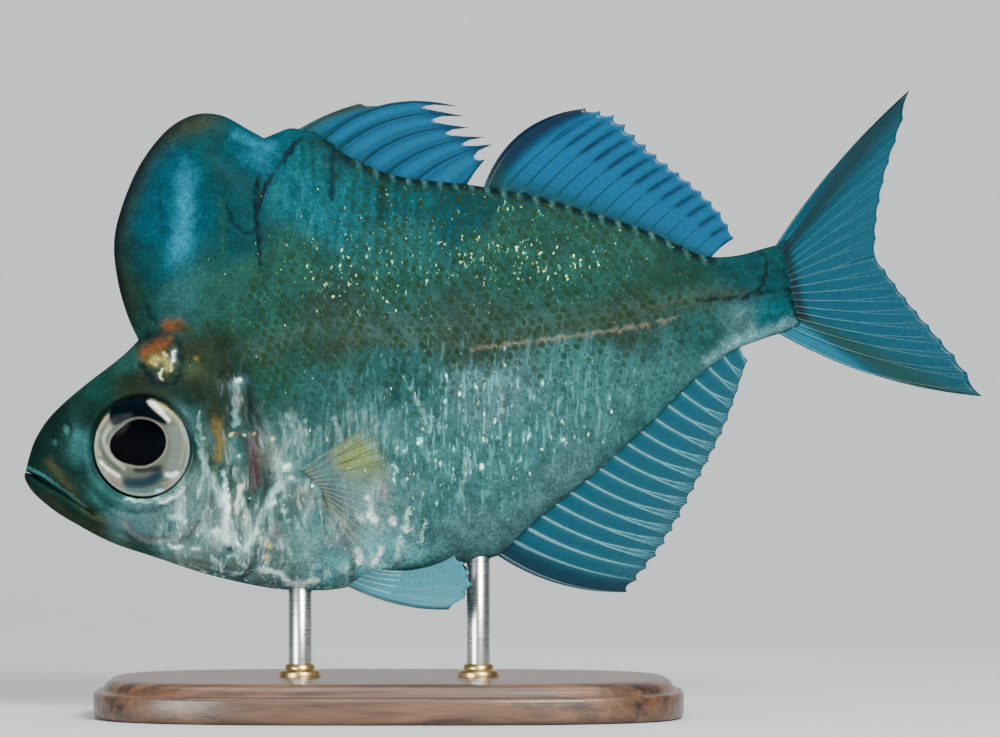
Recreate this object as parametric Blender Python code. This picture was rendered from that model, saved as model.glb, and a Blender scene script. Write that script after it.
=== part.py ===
"""A humphead glassfish at life size, swimming head down, held over a flat base by two short rods.

The fish is modelled in its own frame, in millimetres: a runs from the snout to the tail, b points to the
back, and c is the distance from the fish's middle plane. The body is one smooth shape, half as thick as
half_thickness(a, b) says, and it is divided into head, jaw, hump, trunk and tail by thin cuts.
"""

import math

import bpy
import numpy as np
from mathutils import Vector
from mathutils.geometry import delaunay_2d_cdt

MM = 0.001
GAP = 0.3
TILT_DEG = 13.6

# Where the snout's tip is over the middle of the base
SNOUT_X = -36.9
SNOUT_Z = 25.5

BASE_LENGTH = 60.0
BASE_WIDTH = 36.0
BASE_HEIGHT = 4.0
BASE_BEVEL = 0.8
BASE_SQUARENESS = 3.2
ROD_RADIUS = 1.2
ROD_FRONT_X = -9.1
ROD_REAR_X = 9.1

# The outline, as (a, b): the back from the tail to the nape, the hump, then the face and the belly
TAIL_END = 80.0
BACK_LINE = [
    (84.0, 3.9), (79.0, 3.9), (75.6, 3.8), (72.8, 4.3), (70.8, 5.4), (67.8, 7.9), (64.4, 10.1),
    (57.7, 14.0), (51.2, 17.0), (44.8, 19.3), (41.5, 21.1), (38.8, 23.4), (36.8, 25.8), (34.4, 27.1),
    (32.6, 27.0), (31.3, 26.8),
]
HUMP_LINE = [
    (31.3, 26.8), (29.9, 28.1), (27.6, 30.1), (24.9, 30.8), (21.8, 29.9), (18.4, 27.2), (15.6, 23.5),
    (13.9, 20.0), (13.35, 16.0), (13.5, 12.4), (14.0, 9.8),
]
FACE_LINE = [
    (14.0, 9.8), (12.4, 8.8), (10.2, 7.75), (7.8, 6.7), (5.1, 5.35), (3.0, 4.0), (1.3, 2.3), (0.35, 0.8),
    (-0.3, -0.45), (-0.6, -1.2), (-0.1, -2.8), (1.3, -4.8), (2.9, -6.5), (6.4, -9.6), (10.5, -12.2),
    (15.2, -15.1), (20.2, -17.6), (23.6, -18.8), (27.8, -19.7), (31.5, -19.5), (35.5, -19.5),
    (39.5, -20.0), (43.3, -20.3), (45.2, -19.9), (47.5, -18.6), (51.1, -16.7), (54.6, -15.1),
    (58.4, -13.1), (62.0, -11.2), (65.7, -9.0), (69.6, -6.8), (73.0, -5.5), (76.0, -5.1), (78.2, -4.9),
    (80.0, -4.6), (84.0, -4.4),
]

# Half the body's width at its widest level, and how wide its edge is rounded, against a
WIDTH_KNOTS = [
    (-1.0, 1.7), (2.0, 2.6), (5.0, 3.6), (8.0, 4.4), (12.0, 5.1), (17.0, 5.8), (22.0, 6.2), (28.0, 6.4),
    (35.0, 6.1), (42.0, 5.4), (50.0, 4.5), (58.0, 3.6), (66.0, 2.7), (72.0, 2.1), (76.0, 1.8), (84.0, 1.3),
]
ROUND_KNOTS = [
    (-1.0, 1.3), (1.0, 2.6), (4.0, 4.2), (8.0, 6.0), (14.0, 7.5), (22.0, 9.0), (45.0, 9.0), (60.0, 8.0),
    (66.0, 7.0), (70.0, 5.4), (74.0, 4.3), (84.0, 3.8),
]
WIDEST_LEVEL = -3.0
BACK_REACH = 24.0
BELLY_REACH = 30.0
HUMP_CENTRE = (21.5, 21.0)
HUMP_REACH = (10.5, 13.5)
HUMP_HALF_THICKNESS = 3.7
HUMP_ROUNDING = 6.2

# The thin cuts between the pieces of the body, drawn a little past the outline
HUMP_SEAM = [
    (12.2, 9.5), (14.0, 9.8), (19.5, 10.2), (24.1, 12.0), (27.6, 15.8), (29.4, 20.0), (31.3, 26.8),
    (32.2, 29.6),
]
GILL_SEAM = [
    (18.5, 10.05), (20.4, 6.5), (22.5, 2.0), (23.6, -3.5), (23.0, -8.5), (20.8, -13.0), (18.9, -17.0),
    (18.3, -19.0),
]
MOUTH_LINE = [(-1.6, -0.35), (-0.3, -0.6), (2.0, -2.6), (3.9, -4.4), (5.6, -6.3)]
JAW_HINGE_LINE = [(5.6, -6.3), (6.6, -8.0), (7.2, -9.9), (7.4, -11.6)]
TAIL_SEAM = [(74.4, 6.5), (74.4, -8.0)]

EYE_CENTRE = (12.0, -1.08)
EYE_RADIUS = 5.2
EYE_HALF_DEPTH = 2.3
EYE_STANDS_OUT = 0.75
EYE_YAW_DEG = 8.0
EYE_ROLL_DEG = 5.0
ORBIT_RIM_HEIGHT = 0.3
NOSTRILS = [(4.25, 2.55, 0.5), (2.75, 1.75, 0.4)]
NOSTRIL_DEPTH = 0.45
LIP_HEIGHT = 0.32
CHEEK_RIDGE = [(16.4, 4.6), (15.7, 1.0), (15.2, -4.0), (14.7, -8.2), (12.6, -10.3), (9.2, -10.2)]
CHEEK_RIDGE_HEIGHT = 0.3

COVER_FRONT = [
    (20.9, 5.2), (19.0, 3.2), (18.0, 0.0), (17.0, -4.5), (16.3, -9.5), (16.9, -13.0), (18.9, -16.0),
]
COVER_THICKNESS = 1.2
COVER_RISE = 0.3
COVER_LEAST_C = 0.9

# How far apart the points of the side view are, on each piece and on the outline
PLAN_SPACING = {
    "head": 1.05,
    "lower_jaw": 1.0,
    "nuchal_hump": 1.45,
    "trunk": 1.75,
    "tail_peduncle": 1.3,
}
RIM_SPACING = 1.35

WEB_HALF = 0.25
TIP_HALF = 0.12

# The outer edges of the soft fins, as (a, b) from the first ray to the last
SOFT_DORSAL_MARGIN = [
    (64.0, 22.0), (66.6, 20.7), (68.3, 18.1), (70.2, 15.3), (72.3, 12.6), (73.8, 10.4), (75.0, 8.0),
    (75.5, 5.6),
]
ANAL_MARGIN = [
    (56.4, -26.9), (58.2, -25.6), (60.4, -23.9), (63.2, -21.1), (65.7, -18.2), (68.1, -15.4),
    (70.2, -12.8), (71.9, -10.2), (73.0, -8.3), (73.9, -6.9),
]
SPINE_TIPS = [
    (41.7, 27.9), (51.2, 25.3), (51.6, 24.2), (51.9, 22.9), (53.2, 21.6), (53.8, 20.7), (52.7, 19.4),
]


def material(name, rgb, roughness, metallic=0.0):
    made = bpy.data.materials.new(name)
    made.use_nodes = True
    shader = made.node_tree.nodes["Principled BSDF"]
    shader.inputs["Base Color"].default_value = (*rgb, 1.0)
    shader.inputs["Roughness"].default_value = roughness
    shader.inputs["Metallic"].default_value = metallic
    return made


def spline(knots, steps=8):
    """A smooth curve through the knots: each span is a cubic, with its ends' slopes from its neighbours."""
    p = np.array(knots, float)
    slopes = np.gradient(p, axis=0)
    slopes[0] = p[1] - p[0]
    slopes[-1] = p[-1] - p[-2]
    t = np.linspace(0.0, 1.0, steps, endpoint=False)[:, None]
    spans = [
        (2 * t**3 - 3 * t**2 + 1) * p[i]
        + (t**3 - 2 * t**2 + t) * slopes[i]
        + (3 * t**2 - 2 * t**3) * p[i + 1]
        + (t**3 - t**2) * slopes[i + 1]
        for i in range(len(p) - 1)
    ]
    return np.vstack([*spans, p[-1:]])


def evenly(points, spacing):
    """The same line with its points about a spacing apart."""
    length = np.r_[0.0, np.cumsum(np.linalg.norm(np.diff(points, axis=0), axis=1))]
    at = np.linspace(0.0, length[-1], max(2, round(length[-1] / spacing) + 1))
    return np.column_stack([np.interp(at, length, points[:, k]) for k in range(points.shape[1])])


def along(points, share):
    """The point at a share of a line's length, for each share."""
    length = np.r_[0.0, np.cumsum(np.linalg.norm(np.diff(points, axis=0), axis=1))]
    at = np.asarray(share) * length[-1]
    return np.column_stack([np.interp(at, length, points[:, k]) for k in range(points.shape[1])])


def distance_to(line, a, b):
    """How far each point (a, b) is from a line of points."""
    p = np.column_stack([np.ravel(a), np.ravel(b)])[:, None, :]
    start, run = line[:-1][None], np.diff(line, axis=0)[None]
    share = np.clip(((p - start) * run).sum(2) / (run**2).sum(2), 0.0, 1.0)
    return np.linalg.norm(p - start - share[..., None] * run, axis=2).min(1).reshape(np.shape(a))


def inside(polygon, a, b):
    """Whether each point (a, b) is inside a closed polygon."""
    x, y = np.ravel(a)[:, None], np.ravel(b)[:, None]
    x0, y0 = polygon.T
    x1, y1 = np.roll(polygon, -1, axis=0).T
    crosses = (y0 > y) != (y1 > y)
    with np.errstate(divide="ignore", invalid="ignore"):
        hits = crosses & (x < (x1 - x0) * (y - y0) / (y1 - y0) + x0)
    return (hits.sum(1) % 2 == 1).reshape(np.shape(a))


def offset(line, by):
    """The line moved sideways, to its left where by is positive."""
    along_it = np.gradient(line, axis=0)
    along_it /= np.linalg.norm(along_it, axis=1)[:, None]
    return line + by * np.column_stack([-along_it[:, 1], along_it[:, 0]])


OUTLINE = np.vstack([spline(BACK_LINE)[:-1], spline(HUMP_LINE)[:-1], spline(FACE_LINE)])
MOUTH = spline(MOUTH_LINE)
CHEEK = spline(CHEEK_RIDGE)
WIDTHS = spline(WIDTH_KNOTS)
ROUNDINGS = spline(ROUND_KNOTS)


def half_thickness(a, b, relief=True):
    """Half the body's thickness at (a, b), 0 on its outline."""
    a, b = np.asarray(a, float), np.asarray(b, float)
    reach = np.where(b > WIDEST_LEVEL, BACK_REACH, BELLY_REACH)
    body = np.interp(a, *WIDTHS.T) * np.exp(-(((b - WIDEST_LEVEL) / reach) ** 2))
    across = ((a - HUMP_CENTRE[0]) / HUMP_REACH[0]) ** 2 + ((b - HUMP_CENTRE[1]) / HUMP_REACH[1]) ** 2
    in_hump = np.exp(-(across**2))
    thick = (body**4 + (HUMP_HALF_THICKNESS * in_hump) ** 4) ** 0.25
    rounding = np.interp(a, *ROUNDINGS.T) * (1 - in_hump) + HUMP_ROUNDING * in_hump
    share = np.clip(distance_to(OUTLINE, a, b) / rounding, 0.0, 1.0)
    half = thick * np.sqrt(1 - (1 - share) ** 2)
    return half + surface_relief(a, b) * np.minimum(share * 4, 1.0) if relief else half


def surface_relief(a, b):
    """The heights of the lips, cheek ridge, eye socket's rim and nostrils over the smooth body."""
    from_lips = distance_to(MOUTH, a, b)
    height = LIP_HEIGHT * np.exp(-(((from_lips - 0.55) / 0.42) ** 2))
    height += CHEEK_RIDGE_HEIGHT * np.exp(-((distance_to(CHEEK, a, b) / 0.6) ** 2))
    from_eye = np.hypot(a - EYE_CENTRE[0], b - EYE_CENTRE[1])
    height += ORBIT_RIM_HEIGHT * np.exp(-(((from_eye - EYE_RADIUS - 0.55) / 0.55) ** 2))
    for nostril_a, nostril_b, size in NOSTRILS:
        away = np.hypot(a - nostril_a, b - nostril_b) / size
        height += NOSTRIL_DEPTH * (0.45 * np.exp(-(((away - 1.5) / 0.4) ** 2)) - np.exp(-(away**2)))
    return height


def body_axis():
    """The empty that the fish hangs from: its X runs from the snout to the tail."""
    empty = bpy.data.objects.new("fish_axis", None)
    bpy.context.scene.collection.objects.link(empty)
    empty.location = (SNOUT_X * MM, 0.0, SNOUT_Z * MM)
    empty.rotation_euler = (0.0, -math.radians(TILT_DEG), 0.0)
    return empty


def add_object(name, points, faces, look, parent=None):
    """An object from points in millimetres. Its points are (a, c, b) where it hangs on the fish's axis."""
    mesh = bpy.data.meshes.new(name)
    mesh.from_pydata([tuple(float(x) * MM for x in p) for p in points], [], faces)
    mesh.validate()
    mesh.shade_smooth()
    mesh.set_sharp_from_angle(angle=math.radians(40))
    mesh.materials.append(look)
    made = bpy.data.objects.new(name, mesh)
    bpy.context.scene.collection.objects.link(made)
    made.parent = parent
    return made


def hidden_cutter(cutter):
    cutter.hide_render = True
    cutter.display_type = "WIRE"
    return cutter


def cut(target, cutter, number):
    """Takes the cutter's shape out of the target."""
    modifier = target.modifiers.new(f"cut_{number}", "BOOLEAN")
    modifier.operation = "DIFFERENCE"
    modifier.solver = "EXACT"
    modifier.object = cutter


def triangulate(boundary_lines, inner_points):
    """Triangles over the plane that keep every boundary line as edges."""
    points, edges = [], []
    for line in boundary_lines:
        first = len(points)
        points.extend(map(tuple, line))
        edges.extend((first + i, first + i + 1) for i in range(len(line) - 1))
    points.extend(map(tuple, inner_points))
    found = delaunay_2d_cdt([Vector(p) for p in points], edges, [], 0, 1e-4)
    return np.array([tuple(p) for p in found[0]]), np.array(found[2])


def grid_in(low, high, spacing):
    """Points of a triangular grid between two corners."""
    rows = np.arange(low[1], high[1], spacing * math.sqrt(0.75))
    columns = np.arange(low[0], high[0], spacing)
    return np.array([(x + spacing / 2 * (r % 2), y) for r, y in enumerate(rows) for x in columns])


def circle(centre, radius, count):
    turn = np.linspace(0.0, 2 * math.pi, count, endpoint=False)
    return np.column_stack([centre[0] + radius * np.cos(turn), centre[1] + radius * np.sin(turn)])


def plan_of_body():
    """The body's side view as triangles, and the name of the piece that each belongs to, or "" in a cut."""
    rim = np.vstack([evenly(spline(line), RIM_SPACING)[:-1] for line in (BACK_LINE, HUMP_LINE)])
    rim = np.vstack([rim, evenly(spline(FACE_LINE), RIM_SPACING)])
    rim = rim[rim[:, 0] < TAIL_END - 0.4]
    rim = np.vstack([(TAIL_END, 3.9), rim, (TAIL_END, -4.7), (TAIL_END, 3.9)])
    seams = {
        "hump": evenly(spline(HUMP_SEAM), 1.4),
        "gill": evenly(spline(GILL_SEAM), 1.3),
        "jaw": evenly(np.vstack([MOUTH[:-1], spline(JAW_HINGE_LINE)]), 0.9),
        "tail": evenly(np.array(TAIL_SEAM), 1.3),
    }
    cuts = [offset(seam, side * GAP / 2) for seam in seams.values() for side in (-1, 1)]

    regions = piece_regions(seams)
    rounded = rim[:-1]
    inward = offset(np.vstack([rounded, rounded[:1]]), 1.0)[:-1] - rounded
    rings = [rounded + inward * depth for depth in (0.18, 0.75)]
    fine = [np.array([(a, b)]) for a, b, _ in NOSTRILS]
    for a, b, size in NOSTRILS:
        fine += [circle((a, b), 0.75 * size, 6), circle((a, b), 1.5 * size, 9)]
    fine += [circle(EYE_CENTRE, EYE_RADIUS + away, 34) for away in (0.6, 1.3)]
    fine += [offset(seams["jaw"][2:-6], side * away) for side in (-1, 1) for away in (0.55, 1.1)]
    fine += [offset(evenly(CHEEK, 1.2), away) for away in (-0.75, 0.0, 0.75)]
    grids = []
    for name, spacing in PLAN_SPACING.items():
        grid = grid_in(rim.min(0), rim.max(0), spacing)
        grid = grid[name_of_piece(regions, grid) == name]
        near = np.min([distance_to(line, *grid.T) for line in [rim, *cuts]], axis=0)
        clear = near > np.maximum(0.6 * spacing, 0.9 * (name != "lower_jaw"))
        away = grid[:, None] - np.vstack(fine)[None]
        crowded = np.linalg.norm(away, axis=2).min(1) < 0.55 * spacing
        grids.append(grid[clear & ~crowded])
    rings = [r[inside(rim, *r.T) & (distance_to(rim, *r.T) > 0.1)] for r in rings]
    inner = np.vstack([*rings, *fine, *grids])
    keep = np.min([distance_to(line, *inner.T) for line in cuts], axis=0) > 0.22
    points, triangles = triangulate([rim, *cuts], inner[keep & inside(rim, *inner.T)])

    middles = points[triangles].mean(1)
    in_cut = np.min([distance_to(seam, *middles.T) for seam in seams.values()], axis=0) < GAP / 2
    names = name_of_piece(regions, middles)
    names[in_cut | ~inside(rim, *middles.T)] = ""
    on_rim = distance_to(rim, *points.T) < 1e-3
    on_rim &= points[:, 0] < TAIL_END - 1e-3
    return points, triangles, names, on_rim


def piece_regions(seams):
    """A polygon for each piece that holds its side of the cuts and reaches past the outline."""
    far_up, far_front = 60.0, -20.0
    around_head = [(18.0, -far_up), (far_front, -far_up), (far_front, far_up), (18.2, far_up)]
    seam_a, far_rear = TAIL_SEAM[0][0], 120.0
    tail = [(seam_a, far_up), (seam_a, -far_up), (far_rear, -far_up), (far_rear, far_up)]
    return {
        "nuchal_hump": np.vstack([seams["hump"], (33.0, far_up), (far_front, far_up), (far_front, 9.5)]),
        "lower_jaw": np.vstack([seams["jaw"], (6.0, -far_up), (far_front, -far_up), (far_front, -0.35)]),
        "head": np.vstack([seams["gill"], around_head]),
        "tail_peduncle": np.array(tail),
    }


def name_of_piece(regions, points):
    names = np.full(len(points), "trunk", dtype="<U16")
    for name in ("head", "lower_jaw", "tail_peduncle", "nuchal_hump"):
        names[inside(regions[name], *points.T)] = name
    return names


def body_piece(name, plan, look, axis):
    """One piece of the body: its two flanks, joined along the outline, with flat walls at the cuts."""
    points, triangles, names, on_rim = plan
    mine = triangles[names == name]
    used = np.unique(mine)
    half = half_thickness(*points[used].T)
    number = {}
    made = []
    for index, height in zip(used, half):
        flat = on_rim[index] or height < 0.02
        for side in (1, -1):
            if flat and side == -1:
                number[index, -1] = number[index, 1]
                continue
            number[index, side] = len(made)
            made.append((points[index][0], 0.0 if flat else side * height, points[index][1]))
    faces = []
    edges = {}
    for i, j, k in mine:
        faces.append([number[i, 1], number[k, 1], number[j, 1]])
        faces.append([number[i, -1], number[j, -1], number[k, -1]])
        edges.update(dict.fromkeys([(i, j), (j, k), (k, i)]))
    for p, q in edges:
        if (q, p) not in edges:
            wall = [number[p, -1], number[p, 1], number[q, 1], number[q, -1]]
            corners = list(dict.fromkeys(wall))
            if len(corners) > 2:
                faces.append(corners)
    return add_object(name, made, faces, look, axis)


def slab(name, polygon, inner_of, outer_of, side, look, axis, spacing=1.2):
    """A plate over a closed polygon of the side view, between two heights from the middle plane."""
    rim = np.vstack([polygon, polygon[:1]])
    grid = grid_in(rim.min(0), rim.max(0), spacing)
    grid = grid[inside(polygon, *grid.T)]
    grid = grid[distance_to(rim, *grid.T) > 0.55 * spacing]
    points, triangles = triangulate([rim], grid)
    triangles = triangles[inside(polygon, *points[triangles].mean(1).T)]
    count = len(points)
    heights = (outer_of(*points.T), inner_of(*points.T))
    made = [(a, side * c, b) for height in heights for (a, b), c in zip(points, height)]
    faces = []
    edges = {}
    for i, j, k in triangles:
        faces.append([i, k, j])
        faces.append([count + i, count + j, count + k])
        edges.update(dict.fromkeys([(i, j), (j, k), (k, i)]))
    for p, q in edges:
        if (q, p) not in edges:
            faces.append([p, q, count + q])
            faces.append([p, count + q, count + p])
    if side < 0:
        faces = [face[::-1] for face in faces]
    return add_object(name, made, faces, look, axis)


def grown(polygon, by):
    """A closed polygon that runs anticlockwise, moved outwards by the same distance on every side."""
    runs = np.roll(polygon, -1, axis=0) - polygon
    runs /= np.linalg.norm(runs, axis=1)[:, None]
    after = np.column_stack([runs[:, 1], -runs[:, 0]])
    before = np.roll(after, 1, axis=0)
    turned = np.maximum(1 + (after * before).sum(1), 0.4)
    return polygon + by * (after + before) / turned[:, None]


def cover_polygon():
    """The gill cover's outline in the side view, anticlockwise from the top of its front edge."""
    seam = evenly(spline(GILL_SEAM), 1.3)
    seam = seam[(seam[:, 1] < 4.9) & (seam[:, 1] > -15.6)]
    front = evenly(spline(COVER_FRONT), 1.3)[1:-1]
    return np.vstack([front, offset(seam, -GAP / 2)[::-1]])


def gill_covers(head, look, axis):
    """The two gill covers, each a plate let into the head and standing a little proud of it."""
    outline = cover_polygon()
    edge = np.vstack([outline, outline[:1]])

    def outer(a, b):
        return half_thickness(a, b) + COVER_RISE * np.minimum(distance_to(edge, a, b) / 0.8, 1.0)

    def inner(a, b):
        return np.maximum(half_thickness(a, b) - COVER_THICKNESS, COVER_LEAST_C)

    def floor(a, b):
        return inner(a, b) - GAP

    def above(a, b):
        return half_thickness(a, b) + 3.0

    for side, word in ((-1, "left"), (1, "right")):
        slab(f"gill_cover_{word}", outline, inner, outer, side, look, axis)
        pocket = slab(f"gill_pocket_{word}", grown(outline, GAP), floor, above, side, look, axis)
        cut(head, hidden_cutter(pocket), f"gill_{word}")


def eyes(head, look, axis):
    """The two eyes, flattened balls that stand a little out of their sockets."""
    surface = float(half_thickness(*EYE_CENTRE, relief=False))
    middle = surface + EYE_STANDS_OUT - EYE_HALF_DEPTH
    for side, word in ((-1, "left"), (1, "right")):
        for name, grow in ((f"eye_{word}", 0.0), (f"eye_socket_{word}", GAP)):
            bpy.ops.mesh.primitive_uv_sphere_add(segments=26, ring_count=13, radius=MM)
            ball = bpy.context.object
            ball.name = name
            ball.data.name = name
            ball.scale = (EYE_RADIUS + grow, EYE_RADIUS + grow, EYE_HALF_DEPTH + grow)
            ball.rotation_euler = (math.radians(90), 0.0, 0.0)
            bpy.ops.object.transform_apply(location=False, rotation=True, scale=True)
            roll, yaw = math.radians(EYE_ROLL_DEG), math.radians(EYE_YAW_DEG)
            ball.rotation_euler = (-side * roll, 0.0, side * yaw)
            ball.location = (EYE_CENTRE[0] * MM, side * middle * MM, EYE_CENTRE[1] * MM)
            ball.parent = axis
            ball.data.materials.append(look)
            ball.data.shade_smooth()
        cut(head, hidden_cutter(ball), f"eye_{word}")


def fin(name, rays, normals, ray_half, look, axis, web=1.0, rows=6, side=1, web_roots=None):
    """A fin as one closed sheet, with a ridge along each ray and a thin web between.

    rays are lines of points (a, c, b) from root to tip, normals the sheet's direction at each ray,
    ray_half the ridge's half thickness at its root, and web how far the web reaches along the rays.
    web_roots are where the web between two rays starts, in the side view."""
    columns = []
    down = np.linspace(0.0, 1.0, rows + 1)
    for i, ray in enumerate(rays):
        line = along(np.array(ray, float), down)
        ridge = ray_half[i] * (1 - 0.45 * down)
        columns.append((line, normals[i], np.maximum(ridge, WEB_HALF)))
        if i + 1 < len(rays):
            neighbour = along(np.array(rays[i + 1], float), down * web)
            between = (along(np.array(ray, float), down * web) + neighbour) / 2
            if web_roots is not None:
                root = np.array([web_roots[i][0], 0.0, web_roots[i][1]])
                between += np.outer(1 - down, root - between[0])
            columns.append((between, (normals[i] + normals[i + 1]) / 2, np.full(rows + 1, WEB_HALF)))
    for _, _, half in columns:
        half[-1] = TIP_HALF
    deep, wide = rows + 1, len(columns)
    points = []
    for face in (1, -1):
        for line, normal, half in columns:
            unit = np.array(normal, float) / np.linalg.norm(normal)
            points.extend(line + face * half[:, None] * unit)
    other = deep * wide

    def at(column, row):
        return column * deep + row

    faces = []
    for c in range(wide - 1):
        for r in range(rows):
            corner = (at(c, r), at(c + 1, r), at(c + 1, r + 1), at(c, r + 1))
            halves = ((0, 1, 3), (1, 2, 3)) if c % 2 else ((0, 1, 2), (0, 2, 3))
            for three in halves:
                faces.append([corner[t] for t in three])
                faces.append([other + corner[t] for t in three][::-1])
    border = [at(c, 0) for c in range(wide)]
    border += [at(wide - 1, r) for r in range(1, deep)]
    border += [at(c, rows) for c in range(wide - 2, -1, -1)]
    border += [at(0, r) for r in range(rows - 1, 0, -1)]
    for p, q in zip(border, border[1:] + border[:1]):
        faces.append([q, p, other + p])
        faces.append([q, other + p, other + q])
    points = [(p[0], side * p[1], p[2]) for p in points]
    made = add_object(name, points, faces, look, axis)
    if not faces_point_out(made.data):
        made.data.flip_normals()


def faces_point_out(mesh):
    """Whether a closed mesh has a positive volume."""
    mesh.calc_loop_triangles()
    points = np.array([v.co for v in mesh.vertices])
    corners = points[np.array([t.vertices for t in mesh.loop_triangles])]
    return np.einsum("ij,ij->i", corners[:, 0], np.cross(corners[:, 1], corners[:, 2])).sum() > 0


def bowed(root, tip, bow, steps=10):
    """A ray from root to tip in the side view, arched sideways by bow times its length."""
    root, tip = np.array(root, float), np.array(tip, float)
    t = np.linspace(0.0, 1.0, steps)[:, None]
    run = tip - root
    sideways = np.array([-run[1], run[0]])
    flat = root + t * run + 4 * bow * t * (1 - t) * sideways
    return np.column_stack([flat[:, 0], np.zeros(steps), flat[:, 1]])


def rim_between(first_a, last_a, line_knots, lift):
    """The body's edge between two places along the fish, moved out by lift."""
    line = spline(line_knots)
    edge = offset(line, -lift)
    if edge[0, 0] > edge[-1, 0]:
        edge = edge[::-1]
    return evenly(edge[(edge[:, 0] >= first_a) & (edge[:, 0] <= last_a)], 0.25)


FLAT_NORMAL = np.array([0.0, 1.0, 0.0])


def spiny_dorsal(look, axis):
    """The first dorsal fin: seven arched spines whose web is deeply notched."""
    edge = rim_between(34.6, 51.0, BACK_LINE, GAP)
    share = np.array([0.0, 0.13, 0.23, 0.38, 0.53, 0.70, 0.98])
    roots = along(edge, share)
    between = along(edge, (share[1:] + share[:-1]) / 2)
    bows = [0.04, 0.13, 0.12, 0.11, 0.09, 0.07, 0.03]
    rays = [bowed(r, t, bow) for r, t, bow in zip(roots, SPINE_TIPS, bows)]
    halves = [0.42, 0.48, 0.46, 0.44, 0.42, 0.4, 0.36]
    normals = [FLAT_NORMAL] * len(rays)
    fin("dorsal_fin_spiny", rays, normals, halves, look, axis, web=0.86, rows=7, web_roots=between)


def soft_dorsal(look, axis):
    """The second dorsal fin: one stout spine, then soft rays that shorten towards the tail."""
    edge = rim_between(51.6, 72.6, BACK_LINE, GAP)
    count = 15
    roots = along(edge, np.linspace(0.0, 1.0, count))
    tips = along(spline(SOFT_DORSAL_MARGIN), np.linspace(0.0, 1.0, count))
    rays = [bowed(r, t, 0.05 + 0.11 * (i == 0)) for i, (r, t) in enumerate(zip(roots, tips))]
    halves = [0.5] + [0.42 - 0.01 * i for i in range(count - 1)]
    fin("dorsal_fin_soft", rays, [FLAT_NORMAL] * count, halves, look, axis, web=0.95, rows=6)


def anal(look, axis):
    """The anal fin: three spines at the front, the last as long as the rays behind it."""
    edge = rim_between(44.4, 73.6, FACE_LINE, GAP)
    count = 18
    share = np.linspace(0.0, 1.0, count)
    roots = along(edge, share)
    tips = along(spline(ANAL_MARGIN), share)
    rays = [bowed(r, t, -0.05 - 0.03 * (i == 0)) for i, (r, t) in enumerate(zip(roots, tips))]
    halves = [0.46, 0.45] + [0.42 - 0.008 * i for i in range(count - 2)]
    fin("anal_fin", rays, [FLAT_NORMAL] * count, halves, look, axis, web=0.96, rows=6)


def caudal(look, axis):
    """The two lobes of the forked tail fin, parted by a thin gap along the middle."""
    root_a = TAIL_END + GAP
    upper_roots = [(root_a, level) for level in np.linspace(3.7, 0.35, 9)]
    lower_roots = [(77.8, -5.35), (79.5, -5.15)]
    lower_roots += [(root_a, level) for level in np.linspace(-4.4, 0.05, 8)]
    upper_margin = [(96.4, 16.0), (94.9, 12.9), (92.3, 8.7), (90.3, 4.4), (89.1, 0.75)]
    lower_margin = [(96.3, -16.0), (95.0, -12.2), (93.2, -8.6), (91.2, -4.6), (89.1, 0.4)]
    lobes = {"upper": (upper_roots, upper_margin, 0.035), "lower": (lower_roots, lower_margin, -0.055)}
    for word, (roots, margin, bow) in lobes.items():
        last = len(roots) - 1
        tips = along(spline(margin), np.linspace(0.0, 1.0, last + 1) ** 0.85)
        rays = [bowed(root, tip, bow * (1 - i / last)) for i, (root, tip) in enumerate(zip(roots, tips))]
        halves = np.linspace(0.55, 0.36, last + 1)
        fin(f"caudal_fin_{word}", rays, [FLAT_NORMAL] * (last + 1), halves, look, axis, web=0.97, rows=8)


def pectoral_rays(roots, spread_deg, lengths, heading, splay):
    """Rays that fan out from their roots, spread about their heading and splayed from the flank."""
    out = math.radians(splay)
    t = np.linspace(0.0, 1.0, 8)[:, None]
    rays = []
    for root, turn, length in zip(roots, np.radians(spread_deg), lengths):
        forward = math.radians(heading) + turn
        level, rise = math.cos(forward) * math.cos(out), math.sin(forward) * math.cos(out)
        droop = np.array([0.03, -0.16, 0.0]) * (t**2) * length
        rays.append(np.array(root) + t * length * np.array([level, math.sin(out), rise]) + droop)
    return rays


def normals_of(rays):
    """For each ray, the direction across the sheet that it and its neighbours lie in."""
    normals = []
    for i in range(len(rays)):
        before, after = rays[max(i - 1, 0)], rays[min(i + 1, len(rays) - 1)]
        normal = np.cross(rays[i][-1] - rays[i][0], after[-1] - before[-1])
        normals.append(normal / np.linalg.norm(normal))
    return normals


def pectorals(look, axis):
    """The pectoral fins, fanned out and back from the flanks behind the gill covers."""
    count = 11
    base = spline([(27.3, -7.0), (28.1, -8.3), (28.8, -9.7), (29.0, -11.1)])
    points = along(base, np.linspace(0.0, 1.0, count))
    roots = [(a, float(half_thickness(a, b)) + GAP + 0.12, b) for a, b in points]
    spread = np.linspace(20.0, -72.0, count)
    lengths = 12.6 - 4.4 * np.linspace(-0.35, 1.0, count) ** 2
    rays = pectoral_rays(roots, spread, lengths, 2.0, 49.0)
    halves = [0.42] + [0.34] * (count - 1)
    for side, word in ((-1, "left"), (1, "right")):
        fin(f"pectoral_fin_{word}", rays, normals_of(rays), halves, look, axis, web=0.97, rows=5, side=side)


def in_body(a, b, c):
    """Whether the point is inside the smooth body."""
    within = inside(OUTLINE, np.array(a), np.array(b))
    return bool(within and half_thickness(a, b, relief=False) > abs(c))


def lowest_inside(is_inside, low, high):
    """The level between low and high where is_inside turns true, found by halving."""
    for _ in range(40):
        middle = (low + high) / 2
        low, high = (low, middle) if is_inside(middle) else (middle, high)
    return high


def belly_level(a, c):
    """The level b of the belly's surface at a and c."""
    return lowest_inside(lambda b: in_body(a, b, c), -24.0, -8.0)


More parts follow.
